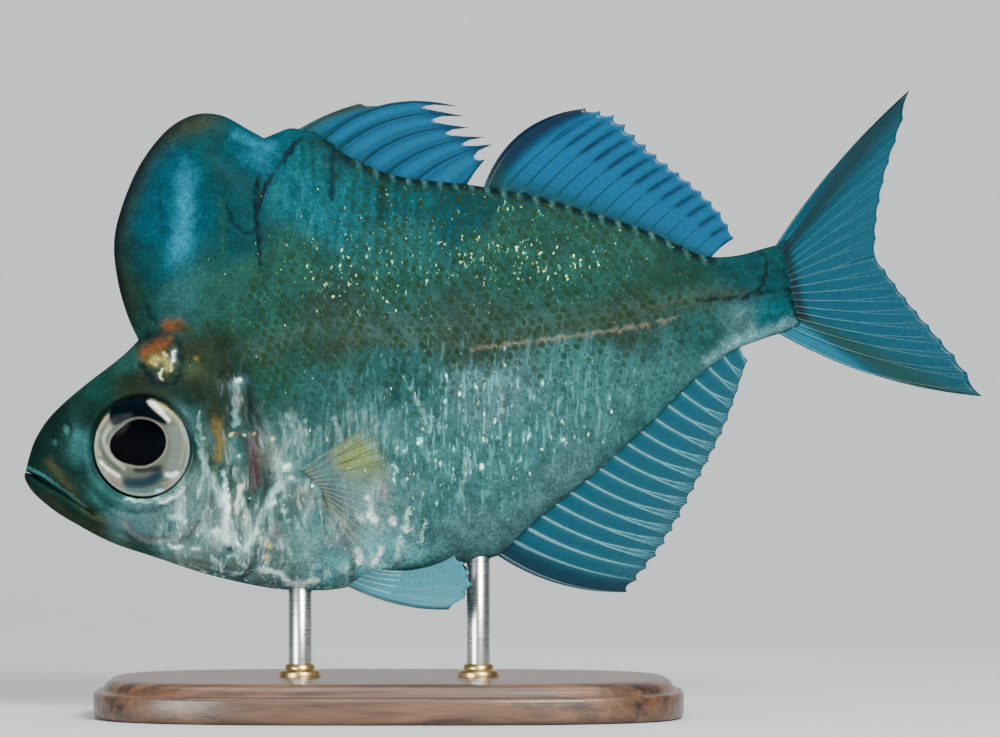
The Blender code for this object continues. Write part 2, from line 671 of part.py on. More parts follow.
def pelvics(look, axis):
    """The pelvic fins, each with a spine in front, close under the belly."""
    count = 6
    places = [(28.6 + 0.62 * i, 1.0 + 0.16 * i) for i in range(count)]
    roots = [(a, c, belly_level(a, c + 0.25) - GAP - 0.15) for a, c in places]
    spread = [-26.0, -20.5, -15.5, -11.0, -7.0, -4.0]
    lengths = [11.0, 12.0, 12.0, 11.2, 10.0, 8.6]
    out = math.radians(17.0)
    t = np.linspace(0.0, 1.0, 8)[:, None]
    sag = (t - t**2) * np.array([0.0, 0.0, -3.2])
    rays = []
    for root, turn, length in zip(roots, np.radians(spread), lengths):
        direction = np.array([math.cos(turn) * math.cos(out), math.sin(out), math.sin(turn)])
        rays.append(np.array(root) + t * length * direction + sag)
    halves = [0.45] + [0.34] * (count - 1)
    for side, word in ((-1, "left"), (1, "right")):
        fin(f"pelvic_fin_{word}", rays, normals_of(rays), halves, look, axis, web=0.97, rows=6, side=side)


def underside(x, y):
    """The height of the belly's surface over a point of the base."""
    turn = math.radians(TILT_DEG)

    def is_inside(z):
        dx, dz = x - SNOUT_X, z - SNOUT_Z
        a = dx * math.cos(turn) + dz * math.sin(turn)
        b = -dx * math.sin(turn) + dz * math.cos(turn)
        return in_body(a, b, max(abs(y), 0.02))

    return lowest_inside(is_inside, 0.0, SNOUT_Z + 8.0)


def stand(base_look, rod_look):
    """A flat oval base with bevelled edges, and two rods whose tops are cut to the belly."""
    count = 48
    points, faces = [], []
    rings = [
        (0.0, BASE_BEVEL),
        (BASE_BEVEL, 0.0),
        (BASE_HEIGHT - BASE_BEVEL, 0.0),
        (BASE_HEIGHT, BASE_BEVEL),
    ]
    for z, inset in rings:
        half_length, half_width = BASE_LENGTH / 2 - inset, BASE_WIDTH / 2 - inset
        for turn in np.linspace(0.0, 2 * math.pi, count, endpoint=False):
            x, y = math.cos(turn), math.sin(turn)
            square = (abs(x) ** BASE_SQUARENESS + abs(y) ** BASE_SQUARENESS) ** (-1 / BASE_SQUARENESS)
            points.append((half_length * x * square, half_width * y * square, z))
    for ring in range(len(rings) - 1):
        for i in range(count):
            j = (i + 1) % count
            low, high = ring * count, (ring + 1) * count
            faces.append([low + i, low + j, high + j, high + i])
    faces.append(list(range(count))[::-1])
    faces.append([(len(rings) - 1) * count + i for i in range(count)])
    add_object("stand_base", points, faces, base_look)

    sides = 20
    for word, x in (("front", ROD_FRONT_X), ("rear", ROD_REAR_X)):
        ring = circle((x, 0.0), ROD_RADIUS, sides)
        foot = BASE_HEIGHT + GAP
        tops = [underside(px, py) - GAP for px, py in ring]
        points = [(px, py, foot) for px, py in ring] + [(px, py, top) for (px, py), top in zip(ring, tops)]
        points += [(x, 0.0, foot), (x, 0.0, underside(x, 0.0) - GAP)]
        faces = []
        for i in range(sides):
            j = (i + 1) % sides
            faces.append([i, j, sides + j, sides + i])
            faces.append([2 * sides, j, i])
            faces.append([2 * sides + 1, sides + i, sides + j])
        add_object(f"stand_rod_{word}", points, faces, rod_look)


def build():
    for old in list(bpy.data.objects):
        bpy.data.objects.remove(old)
    flesh = material("olive_flesh", (0.16, 0.33, 0.32), 0.38)
    silver = material("silver_cheek", (0.5, 0.58, 0.56), 0.25)
    hump_skin = material("clear_hump", (0.1, 0.36, 0.42), 0.3)
    web = material("clear_web", (0.3, 0.55, 0.62), 0.3)
    iris = material("silver_iris", (0.45, 0.43, 0.38), 0.15)
    wood = material("walnut", (0.16, 0.09, 0.05), 0.45)
    steel = material("brushed_rod", (0.6, 0.6, 0.6), 0.3, 1.0)

    axis = body_axis()
    plan = plan_of_body()
    head = body_piece("head", plan, flesh, axis)
    body_piece("lower_jaw", plan, flesh, axis)
    body_piece("nuchal_hump", plan, hump_skin, axis)
    body_piece("trunk", plan, flesh, axis)
    body_piece("tail_peduncle", plan, flesh, axis)
    gill_covers(head, silver, axis)
    eyes(head, iris, axis)
    spiny_dorsal(web, axis)
    soft_dorsal(web, axis)
    anal(web, axis)
    caudal(web, axis)
    pectorals(web, axis)
    pelvics(web, axis)
    stand(wood, steel)


build()
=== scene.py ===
"""The looks of a humphead glassfish on its display stand.

The fish's own frame is in millimetres: a runs from the snout to the tail, b points to the back, and c is
the distance from the fish's middle plane. The body is as thick as half_thickness says, as in the solids.
"""

import math

import bpy
import numpy as np
from mathutils import Matrix, Vector
from mathutils.geometry import delaunay_2d_cdt


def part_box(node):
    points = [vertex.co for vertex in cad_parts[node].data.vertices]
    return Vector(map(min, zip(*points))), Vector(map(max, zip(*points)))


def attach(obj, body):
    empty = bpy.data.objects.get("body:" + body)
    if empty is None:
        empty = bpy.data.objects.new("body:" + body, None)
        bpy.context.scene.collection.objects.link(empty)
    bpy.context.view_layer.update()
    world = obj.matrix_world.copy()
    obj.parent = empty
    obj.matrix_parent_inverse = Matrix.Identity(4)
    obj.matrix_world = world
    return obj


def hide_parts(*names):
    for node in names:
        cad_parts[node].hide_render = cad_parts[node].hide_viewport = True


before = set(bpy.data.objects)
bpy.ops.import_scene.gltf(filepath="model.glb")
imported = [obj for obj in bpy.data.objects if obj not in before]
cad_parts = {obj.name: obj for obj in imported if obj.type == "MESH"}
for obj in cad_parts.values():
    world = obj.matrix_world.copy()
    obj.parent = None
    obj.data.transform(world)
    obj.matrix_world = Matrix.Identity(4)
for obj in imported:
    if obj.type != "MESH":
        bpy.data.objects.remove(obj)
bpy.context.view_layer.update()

MM = 0.001
TILT = math.radians(13.6)
SNOUT_X = -36.9
SNOUT_Z = 25.5

# The picture: how wide it is at the fish, where its middle is, and how far off the camera stands
PICTURE_WIDTH = 102.04
PICTURE_MIDDLE = (11.3, 35.4)
CAMERA_DISTANCE = 620.0
SENSOR_WIDTH = 36.0

# The outline, as (a, b): the back from the tail to the nape, the hump, then the face and the belly
TAIL_END = 80.0
BACK_LINE = [
    (84.0, 3.9), (79.0, 3.9), (75.6, 3.8), (72.8, 4.3), (70.8, 5.4), (67.8, 7.9), (64.4, 10.1),
    (57.7, 14.0), (51.2, 17.0), (44.8, 19.3), (41.5, 21.1), (38.8, 23.4), (36.8, 25.8), (34.4, 27.1),
    (32.6, 27.0), (31.3, 26.8),
]
HUMP_LINE = [
    (31.3, 26.8), (29.9, 28.1), (27.6, 30.1), (24.9, 30.8), (21.8, 29.9), (18.4, 27.2), (15.6, 23.5),
    (13.9, 20.0), (13.35, 16.0), (13.5, 12.4), (14.0, 9.8),
]
FACE_LINE = [
    (14.0, 9.8), (12.4, 8.8), (10.2, 7.75), (7.8, 6.7), (5.1, 5.35), (3.0, 4.0), (1.3, 2.3), (0.35, 0.8),
    (-0.3, -0.45), (-0.6, -1.2), (-0.1, -2.8), (1.3, -4.8), (2.9, -6.5), (6.4, -9.6), (10.5, -12.2),
    (15.2, -15.1), (20.2, -17.6), (23.6, -18.8), (27.8, -19.7), (31.5, -19.5), (35.5, -19.5),
    (39.5, -20.0), (43.3, -20.3), (45.2, -19.9), (47.5, -18.6), (51.1, -16.7), (54.6, -15.1),
    (58.4, -13.1), (62.0, -11.2), (65.7, -9.0), (69.6, -6.8), (73.0, -5.5), (76.0, -5.1), (78.2, -4.9),
    (80.0, -4.6), (84.0, -4.4),
]
WIDTH_KNOTS = [
    (-1.0, 1.7), (2.0, 2.6), (5.0, 3.6), (8.0, 4.4), (12.0, 5.1), (17.0, 5.8), (22.0, 6.2), (28.0, 6.4),
    (35.0, 6.1), (42.0, 5.4), (50.0, 4.5), (58.0, 3.6), (66.0, 2.7), (72.0, 2.1), (76.0, 1.8), (84.0, 1.3),
]
ROUND_KNOTS = [
    (-1.0, 1.3), (1.0, 2.6), (4.0, 4.2), (8.0, 6.0), (14.0, 7.5), (22.0, 9.0), (45.0, 9.0), (60.0, 8.0),
    (66.0, 7.0), (70.0, 5.4), (74.0, 4.3), (84.0, 3.8),
]
WIDEST_LEVEL = -3.0
BACK_REACH = 24.0
BELLY_REACH = 30.0
HUMP_CENTRE = (21.5, 21.0)
HUMP_REACH = (10.5, 13.5)
HUMP_HALF_THICKNESS = 3.7
HUMP_ROUNDING = 6.2

# Where one part of the body passes into the next
HUMP_SEAM = [
    (12.2, 9.5), (14.0, 9.8), (19.5, 10.2), (24.1, 12.0), (27.6, 15.8), (29.4, 20.0), (31.3, 26.8),
    (32.2, 29.6),
]
GILL_SEAM = [
    (22.0, 3.9), (23.0, 0.6), (23.5, -3.5), (23.0, -8.5), (20.9, -13.0), (18.7, -16.0), (15.5, -14.6),
    (11.5, -12.2),
]
MOUTH_LINE = [(-1.6, -0.35), (-0.3, -0.6), (2.0, -2.6), (3.9, -4.4), (5.6, -6.3)]
MOUTH_OPENING = 0.11
MOUTH_SLOT_SHARE = 0.34
COAT_EDGE = [
    (12.2, 9.5), (14.0, 9.8), (19.5, 10.2), (24.1, 12.0), (27.0, 14.6), (28.6, 17.0), (29.7, 19.7),
    (31.3, 22.1), (33.4, 24.3), (35.0, 26.8), (35.4, 29.0),
]
VERTEBRA_LINE = [
    (22.0, 5.6), (28.0, 5.8), (33.1, 5.4), (37.8, 3.4), (42.8, 2.2), (47.8, 1.2), (55.0, 0.4), (62.0, -0.2),
    (68.7, -0.4), (74.0, -0.3), (82.0, -0.3),
]

# The eye: its place and form, how it is turned, how far out its face is, and its painted disc's radius
EYE_CENTRE = (12.0, -1.08)
EYE_RADIUS = 5.2
EYE_HALF_DEPTH = 2.3
EYE_STANDS_OUT = 0.75
EYE_YAW = math.radians(8.0)
EYE_ROLL = math.radians(5.0)
EYE_FACE_LEVEL = 1.6
DISC_RADIUS = EYE_RADIUS - 0.1

# Each nostril's place and half sizes
NOSTRILS = [(4.9, 2.6, 0.62, 0.85), (3.4, 1.75, 0.42, 0.6)]

# The skin's points: how far apart they are, how many go round the eye, and how far in the edge's rings go
HEAD_SPACING = 0.21
HUMP_SPACING = 0.25
TRUNK_SPACING = 0.38
ROUND_EYE = 140
RIM_RINGS = 0.46

# The scales: the way from one to the next along and across the rows, their size, and the edge left bare
SCALE_STEP = 0.95
SCALE_ROW = 0.80
SCALE_LENGTH = 1.75
SCALE_WIDTH = 1.30
SCALE_THICKNESS = 0.024
SCALE_LIFT_DEG = 1.6
DOT_RADIUS = 0.26
BARE_EDGE = 0.35
SEED = 11

# How far the drawn strokes waver, and how strong and how many times wider the painted pale glow round a
# painted white highlight is
STROKE_WAVER = 0.11
HIGHLIGHT_GLOW = 0.34
HIGHLIGHT_GLOW_REACH = 2.3

# Linear colours
INK = (0.001, 0.006, 0.009)
# Dark teal: painted shade in the hump's folds, and the dark upright streaks behind the hump
CREASE = (0.0, 0.012, 0.015)
SNOUT = (0.001, 0.013, 0.010)
DARK_OLIVE = (0.004, 0.021, 0.016)
BARK = (0.018, 0.022, 0.009)
OLIVE = (0.011, 0.062, 0.049)
PEAT = (0.010, 0.018, 0.011)
KHAKI = (0.020, 0.033, 0.016)
MOSS = (0.004, 0.038, 0.028)
DEEP_TEAL = (0.001, 0.042, 0.049)
TEAL = (0.001, 0.052, 0.076)
# Milky blue of the hump's pale flesh, and the painted highlight on it
MILK_AND_HIGHLIGHT = (0.006, 0.125, 0.190)
SEA = (0.002, 0.080, 0.102)
GREY_TEAL = (0.014, 0.072, 0.070)
CHEEK = (0.058, 0.150, 0.156)
PALE_TEAL = (0.034, 0.125, 0.126)
SILVER = (0.095, 0.215, 0.210)
BRIGHT_SILVER = (0.32, 0.60, 0.57)
# Painted highlights, white
WHITE_HIGHLIGHT = (0.80, 1.00, 0.96)
# Painted highlights, pale gold
CREAM_HIGHLIGHT = (0.72, 0.66, 0.44)
SAND = (0.15, 0.18, 0.145)
HAZE = (0.045, 0.150, 0.200)
RUST = (0.105, 0.033, 0.009)
# Painted glints and sheen, gold
GOLD_SHINE = (0.640, 0.540, 0.130)
OCHRE = (0.100, 0.070, 0.012)
STRIPE = (0.018, 0.042, 0.034)
PLUM = (0.036, 0.013, 0.018)
ROSE = (0.190, 0.140, 0.140)
MAUVE = (0.072, 0.088, 0.100)
# Pearly pale teal, and the painted glow round the white highlights
PEARL = (0.180, 0.390, 0.400)
ICE = (0.130, 0.450, 0.490)


def spline(knots, steps=8):
    """A smooth curve through the knots: each span is a cubic, with its ends' slopes from its neighbours."""
    p = np.array(knots, float)
    slopes = np.gradient(p, axis=0)
    slopes[0] = p[1] - p[0]
    slopes[-1] = p[-1] - p[-2]
    t = np.linspace(0.0, 1.0, steps, endpoint=False)[:, None]
    spans = [
        (2 * t**3 - 3 * t**2 + 1) * p[i]
        + (t**3 - 2 * t**2 + t) * slopes[i]
        + (3 * t**2 - 2 * t**3) * p[i + 1]
        + (t**3 - t**2) * slopes[i + 1]
        for i in range(len(p) - 1)
    ]
    return np.vstack([*spans, p[-1:]])


def along(points, share):
    """The point at a share of a line's length, for each share."""
    points = np.asarray(points, float)
    length = np.r_[0.0, np.cumsum(np.linalg.norm(np.diff(points, axis=0), axis=1))]
    at = np.asarray(share) * length[-1]
    return np.column_stack([np.interp(at, length, points[:, k]) for k in range(points.shape[1])])


def evenly(points, spacing):
    """The same line with its points about a spacing apart."""
    length = np.linalg.norm(np.diff(points, axis=0), axis=1).sum()
    return along(points, np.linspace(0.0, 1.0, max(2, round(length / spacing) + 1)))


def distance_to(line, a, b):
    """How far each point (a, b) is from a line of points."""
    flat = np.column_stack([np.ravel(a), np.ravel(b)]).astype(float)
    start, run = line[:-1][None], np.diff(line, axis=0)[None]
    squared = (run**2).sum(2)
    out = np.empty(len(flat))
    for first in range(0, len(flat), 4000):
        p = flat[first : first + 4000, None, :]
        share = np.clip(((p - start) * run).sum(2) / squared, 0.0, 1.0)
        out[first : first + 4000] = np.linalg.norm(p - start - share[..., None] * run, axis=2).min(1)
    return out.reshape(np.shape(a))


def inside(polygon, a, b):
    """Whether each point (a, b) is inside a closed polygon."""
    x, y = np.ravel(a)[:, None], np.ravel(b)[:, None]
    x0, y0 = polygon.T
    x1, y1 = np.roll(polygon, -1, axis=0).T
    crosses = (y0 > y) != (y1 > y)
    with np.errstate(divide="ignore", invalid="ignore"):
        hits = crosses & (x < (x1 - x0) * (y - y0) / (y1 - y0) + x0)
    return (hits.sum(1) % 2 == 1).reshape(np.shape(a))


def offset(line, by):
    """The line moved sideways, to its left where by is positive."""
    run = np.gradient(line, axis=0)
    run /= np.linalg.norm(run, axis=1)[:, None]
    return line + np.asarray(by).reshape(-1, 1) * np.column_stack([-run[:, 1], run[:, 0]])


def bell(value, width):
    """1 at 0, falling off smoothly over about a width on either side."""
    return np.exp(-((value / width) ** 2))


def near(line, a, b, width):
    """1 on a line, falling off smoothly over about its width, and 0 far from it."""
    low, high = line.min(0) - 3 * width, line.max(0) + 3 * width
    close = (a > low[0]) & (a < high[0]) & (b > low[1]) & (b < high[1])
    out = np.zeros(np.shape(a))
    out[close] = bell(distance_to(line, a[close], b[close]), width)
    return out


def blob(a, b, centre, size, turn_deg=0.0):
    """1 in the middle of an oval spot, falling off smoothly."""
    turn = math.radians(turn_deg)
    da, db = a - centre[0], b - centre[1]
    u = da * math.cos(turn) + db * math.sin(turn)
    v = -da * math.sin(turn) + db * math.cos(turn)
    return np.exp(-((u / size[0]) ** 2 + (v / size[1]) ** 2))


def smooth(low, high, value):
    t = np.clip((value - low) / (high - low), 0.0, 1.0)
    return t * t * (3 - 2 * t)


def crisp(share):
    """Draws in the soft edge of a stroke or a spot."""
    return smooth(0.16, 0.74, share)


OUTLINE = np.vstack([spline(BACK_LINE)[:-1], spline(HUMP_LINE)[:-1], spline(FACE_LINE)])
BACK = spline(BACK_LINE)
HUMP_EDGE = spline(HUMP_LINE)
MOUTH = spline(MOUTH_LINE)
GILL = spline(GILL_SEAM)
COAT_FRONT = spline(COAT_EDGE)
SEAM = spline(HUMP_SEAM)
WIDTHS = spline(WIDTH_KNOTS)
ROUNDINGS = spline(ROUND_KNOTS)
VERTEBRAE = spline(VERTEBRA_LINE)
HUMP_AREA = np.vstack([SEAM, (33.0, 60.0), (-20.0, 60.0), (-20.0, 9.5)])
BARE_AREA = np.vstack([COAT_FRONT, (36.0, 60.0), (-20.0, 60.0), (-20.0, 9.5)])
FOLD_AREA = np.array([(26.5, 14.0), (36.5, 14.0), (36.5, 31.0), (26.5, 31.0)])
HEAD_REAR = spline([
    (18.3, 10.2), (20.4, 6.5), (22.5, 2.0), (23.6, -3.5), (23.0, -8.5), (20.8, -13.0), (18.3, -19.0),
])
HEAD_AREA = np.vstack([HEAD_REAR, (18.0, -40.0), (-20.0, -40.0), (-20.0, 10.0)])


def half_thickness(a, b):
    """Half the smooth body's thickness at (a, b), 0 on its outline."""
    a, b = np.asarray(a, float), np.asarray(b, float)
    reach = np.where(b > WIDEST_LEVEL, BACK_REACH, BELLY_REACH)
    body = np.interp(a, *WIDTHS.T) * bell(b - WIDEST_LEVEL, reach)
    across = ((a - HUMP_CENTRE[0]) / HUMP_REACH[0]) ** 2 + ((b - HUMP_CENTRE[1]) / HUMP_REACH[1]) ** 2
    in_hump = np.exp(-(across**2))
    thick = (body**4 + (HUMP_HALF_THICKNESS * in_hump) ** 4) ** 0.25
    rounding = np.interp(a, *ROUNDINGS.T) * (1 - in_hump) + HUMP_ROUNDING * in_hump
    share = np.clip(distance_to(OUTLINE, a, b) / rounding, 0.0, 1.0)
    return thick * np.sqrt(1 - (1 - share) ** 2)


# Folds and bones of the skin, each as a line, half its width and its height
RELIEF = [
    ([(0.9, 1.3), (2.9, -0.5), (4.7, -2.3), (6.4, -4.6), (6.7, -6.3)], 0.26, -0.16),
    ([(5.2, -2.2), (6.5, -5.0), (9.2, -7.2), (12.6, -7.6), (15.6, -6.3)], 0.30, -0.14),
    ([(9.6, -5.9), (11.5, -6.5), (13.6, -6.5), (15.8, -5.6), (17.4, -3.6)], 0.24, 0.12),
    ([(12.3, -7.0), (15.4, -6.2)], 0.26, 0.14),
    ([(19.0, 2.4), (18.5, 0.0), (18.2, -3.6), (17.6, -6.8), (16.4, -9.4), (14.4, -11.2)], 0.26, -0.26),
    ([(18.2, 2.6), (17.7, 0.0), (17.3, -4.0), (16.6, -7.0), (15.4, -9.2), (13.2, -10.6)], 0.40, 0.20),
    ([(16.3, 1.0), (16.1, -3.0), (15.4, -6.6), (13.8, -8.8)], 0.30, -0.08),
    ([(8.6, -8.1), (9.0, -9.2), (10.4, -10.2), (12.9, -10.6), (14.1, -10.0)], 0.24, -0.18),
    ([(19.2, -5.6), (18.9, -9.3), (18.2, -11.2)], 0.32, 0.16),
    ([(20.4, -5.0), (19.7, -8.4), (18.9, -11.0)], 0.26, -0.12),
    ([(21.3, -6.4), (20.3, -8.6), (19.1, -11.0)], 0.32, 0.15),
    ([(19.8, 0.2), (20.0, -2.4), (19.2, -4.0)], 0.40, 0.12),
    ([(20.7, -1.6), (22.6, -2.2)], 0.30, 0.10),
    ([(22.9, 3.1), (22.1, 0.4), (21.6, -0.9)], 0.50, 0.16),
    ([(27.2, -1.2), (27.6, -3.6), (28.0, -5.8)], 0.16, 0.12),
    ([(28.8, -2.0), (28.5, -4.1), (28.4, -5.7)], 0.16, 0.10),
    ([(26.0, -7.6), (24.0, -8.8), (22.4, -10.6), (20.9, -12.6), (19.6, -14.2)], 0.55, 0.28),
    ([(24.4, -3.0), (24.5, -6.0), (23.8, -8.0)], 0.50, -0.18),
    ([(25.6, -8.9), (25.2, -11.4), (24.2, -14.0), (24.8, -17.6)], 0.30, -0.14),
    ([(28.6, -11.4), (29.0, -13.9), (29.8, -16.8)], 0.26, 0.10),
    ([(5.0, -7.9), (8.6, -10.2), (12.5, -12.4), (15.0, -13.4)], 0.30, 0.14),
    ([(7.4, -8.6), (10.6, -11.2), (15.0, -13.9), (17.6, -15.2)], 0.22, -0.12),
    ([(12.9, -12.9), (17.0, -14.8), (20.4, -16.4)], 0.22, -0.10),
    ([(6.2, 5.2), (9.0, 6.0), (12.2, 6.9)], 0.40, -0.10),
    ([(13.7, 7.3), (14.4, 6.0), (15.2, 5.0), (17.1, 5.0), (18.2, 6.8), (18.2, 8.6)], 0.28, -0.18),
    ([(15.2, 7.0), (16.0, 6.2)], 0.35, 0.14),
    ([(17.5, 8.0), (16.9, 6.2)], 0.25, 0.20),
    ([(13.6, 9.9), (15.5, 9.9), (17.3, 10.0)], 0.40, -0.20),
    ([(29.9, 22.6), (29.3, 21.3), (28.9, 20.1), (28.7, 18.5), (28.5, 16.6), (28.2, 15.0)], 0.17, -0.20),
    ([(34.2, 25.8), (33.2, 24.3), (31.1, 22.1), (30.2, 21.2), (29.5, 19.7), (28.8, 18.2)], 0.15, -0.13),
    ([(26.1, 19.9), (26.6, 18.5), (27.4, 17.5), (28.2, 17.7)], 0.20, -0.10),
    ([(25.8, 21.5), (25.4, 19.2), (24.8, 16.9), (24.7, 15.7)], 0.35, -0.10),
    ([(20.0, 24.8), (19.4, 21.6)], 0.20, -0.05),
    ([(15.9, 13.2), (15.8, 12.1), (16.4, 10.9)], 0.26, -0.12),
    ([(28.9, 27.9), (31.3, 26.4), (32.8, 25.7)], 0.45, 0.10),
]


def skin_height(a, b):
    """How far the skin is from the middle plane: the smooth body with its bones, folds and openings."""
    half = half_thickness(a, b)
    from_edge = distance_to(OUTLINE, a, b)
    height = sum(tall * near(spline(line), a, b, wide) for line, wide, tall in RELIEF)

    from_mouth = distance_to(MOUTH, a, b)
    height += 0.28 * bell(from_mouth - 0.75, 0.42) - 0.62 * bell(from_mouth, 0.2)

    ahead = signed_side(GILL, a, b)
    from_gill = distance_to(GILL, a, b)
    cover = np.where(ahead > 0, bell(from_gill, 1.6), bell(from_gill, 0.12))
    slit = np.where(ahead > 0, 0.0, bell(from_gill - 0.45, 0.32))
    height += 0.30 * cover - 0.55 * slit

    from_eye = np.hypot(a - EYE_CENTRE[0], b - EYE_CENTRE[1])
    height += 0.30 * bell(from_eye - EYE_RADIUS - 0.62, 0.5)
    height -= 0.55 * bell(from_eye - EYE_RADIUS, 0.22)
    for nostril_a, nostril_b, wide, tall in NOSTRILS:
        away = np.hypot((a - nostril_a) / wide, (b - nostril_b) / tall)
        height += 0.16 * bell(away - 1.25, 0.35) - 0.42 * np.exp(-((away / 0.85) ** 4))

    height += 0.55 * blob(a, b, (28.2, -9.0), (1.3, 2.3), 70)
    height += 0.10 * blob(a, b, (20.5, 22.0), (2.4, 5.5), -20)
    muscle = np.sin(2 * math.pi * (a + 0.45 * np.abs(b - np.interp(a, *VERTEBRAE.T))) / 2.9)
    height += 0.035 * muscle * smooth(26.0, 34.0, a) * smooth(0.5, 4.0, from_edge)
    height -= SCALE_THICKNESS * scaled_part(a, b)
    return half + height * np.minimum(from_edge / 0.9, 1.0)


def signed_side(line, a, b):
    """Positive ahead of a line that runs down the body, negative behind it."""
    polygon = np.vstack([line, (-30.0, line[-1][1]), (-30.0, line[0][1])])
    return np.where(inside(polygon, np.asarray(a, float), np.asarray(b, float)), 1.0, -1.0)


def scaled_part(a, b):
    """1 where the skin carries scales: the trunk behind the gill covers and the hump, and the tail's root."""
    behind = ~inside(HEAD_AREA, a, b) & ~inside(BARE_AREA, a, b)
    from_gill, from_hump = distance_to(HEAD_REAR, a, b), distance_to(COAT_FRONT, a, b)
    return behind * smooth(0.9, 2.4, from_gill) * smooth(0.3, 1.6, from_hump)


# The colour of the ground at places of the body, from which it blends, and the shade that all of it takes
GROUND_SHADE = 0.62
GROUND = [
    (1.0, 1.2, SNOUT), (4.0, 3.8, SNOUT), (8.5, 6.4, MOSS), (12.8, 8.2, OLIVE), (5.6, 0.4, GREY_TEAL),
    (3.8, 1.2, DARK_OLIVE), (7.4, 3.8, DARK_OLIVE), (4.6, -2.4, DARK_OLIVE), (7.4, -5.0, GREY_TEAL),
    (5.0, -6.2, MOSS), (8.4, -7.4, CHEEK), (9.9, -8.8, CHEEK), (9.4, -11.0, OLIVE), (14.3, -7.8, SILVER),
    (13.2, -9.6, CHEEK), (12.6, -12.6, SILVER), (17.4, -2.0, OLIVE), (17.2, -7.0, SILVER),
    (2.0, -4.4, DARK_OLIVE), (4.6, -7.6, DARK_OLIVE), (15.2, 5.4, PEAT), (18.6, 3.0, PEAT),
    (19.2, 5.4, KHAKI), (21.6, 5.4, PEAT), (12.8, 5.4, PEAT), (24.0, 5.0, DARK_OLIVE), (20.4, 0.6, PEAT),
    (22.4, 1.0, DARK_OLIVE), (21.2, -3.4, GREY_TEAL), (20.8, -5.8, OLIVE), (18.6, -8.8, CHEEK),
    (17.0, -13.6, SILVER), (25.0, -4.6, PALE_TEAL), (20.6, -15.2, SILVER), (23.0, -13.6, SILVER),
    (26.6, -13.8, PALE_TEAL), (30.4, -13.6, SILVER), (31.4, -16.4, ICE), (28.0, -19.0, ICE),
    (34.5, -18.4, ICE), (14.4, 14.6, MOSS), (15.0, 19.0, DEEP_TEAL), (18.6, 20.6, TEAL),
    (17.4, 16.2, DEEP_TEAL), (21.8, 21.6, TEAL), (20.8, 25.6, TEAL), (24.6, 28.6, DEEP_TEAL),
    (27.2, 22.6, DEEP_TEAL), (26.4, 17.0, DEEP_TEAL), (30.6, 25.8, TEAL), (19.2, 13.0, GREY_TEAL),
    (23.6, 12.0, OLIVE), (27.0, 13.6, OLIVE), (32.4, 21.2, SEA), (35.4, 18.6, SEA), (31.4, 14.6, OLIVE),
    (27.4, 8.2, OLIVE), (25.6, 2.6, OLIVE), (17.6, 0.4, CHEEK), (42.0, 12.6, OLIVE), (51.8, 9.2, OLIVE),
    (61.3, 5.0, OLIVE), (37.0, 23.6, DEEP_TEAL), (43.0, 18.0, DEEP_TEAL), (48.6, 15.4, DEEP_TEAL),
    (64.5, 8.0, OLIVE), (33.3, 6.4, STRIPE), (47.8, 1.8, STRIPE), (62.0, 0.2, STRIPE),
    (30.6, -1.0, GREY_TEAL), (38.8, -0.6, GREY_TEAL), (47.5, -4.0, CHEEK), (59.1, -4.3, PALE_TEAL),
    (36.0, -6.0, PALE_TEAL), (41.8, -10.0, PALE_TEAL), (49.0, -10.4, PALE_TEAL), (37.0, -14.6, PALE_TEAL),
    (42.0, -18.0, CHEEK), (52.3, -15.0, CHEEK), (66.7, -7.6, PALE_TEAL), (74.0, -3.8, CHEEK),
    (75.0, 1.8, DEEP_TEAL), (70.0, 3.0, MOSS), (71.0, -3.4, GREY_TEAL), (77.0, -3.8, SEA),
    (79.6, 0.4, DEEP_TEAL),
]
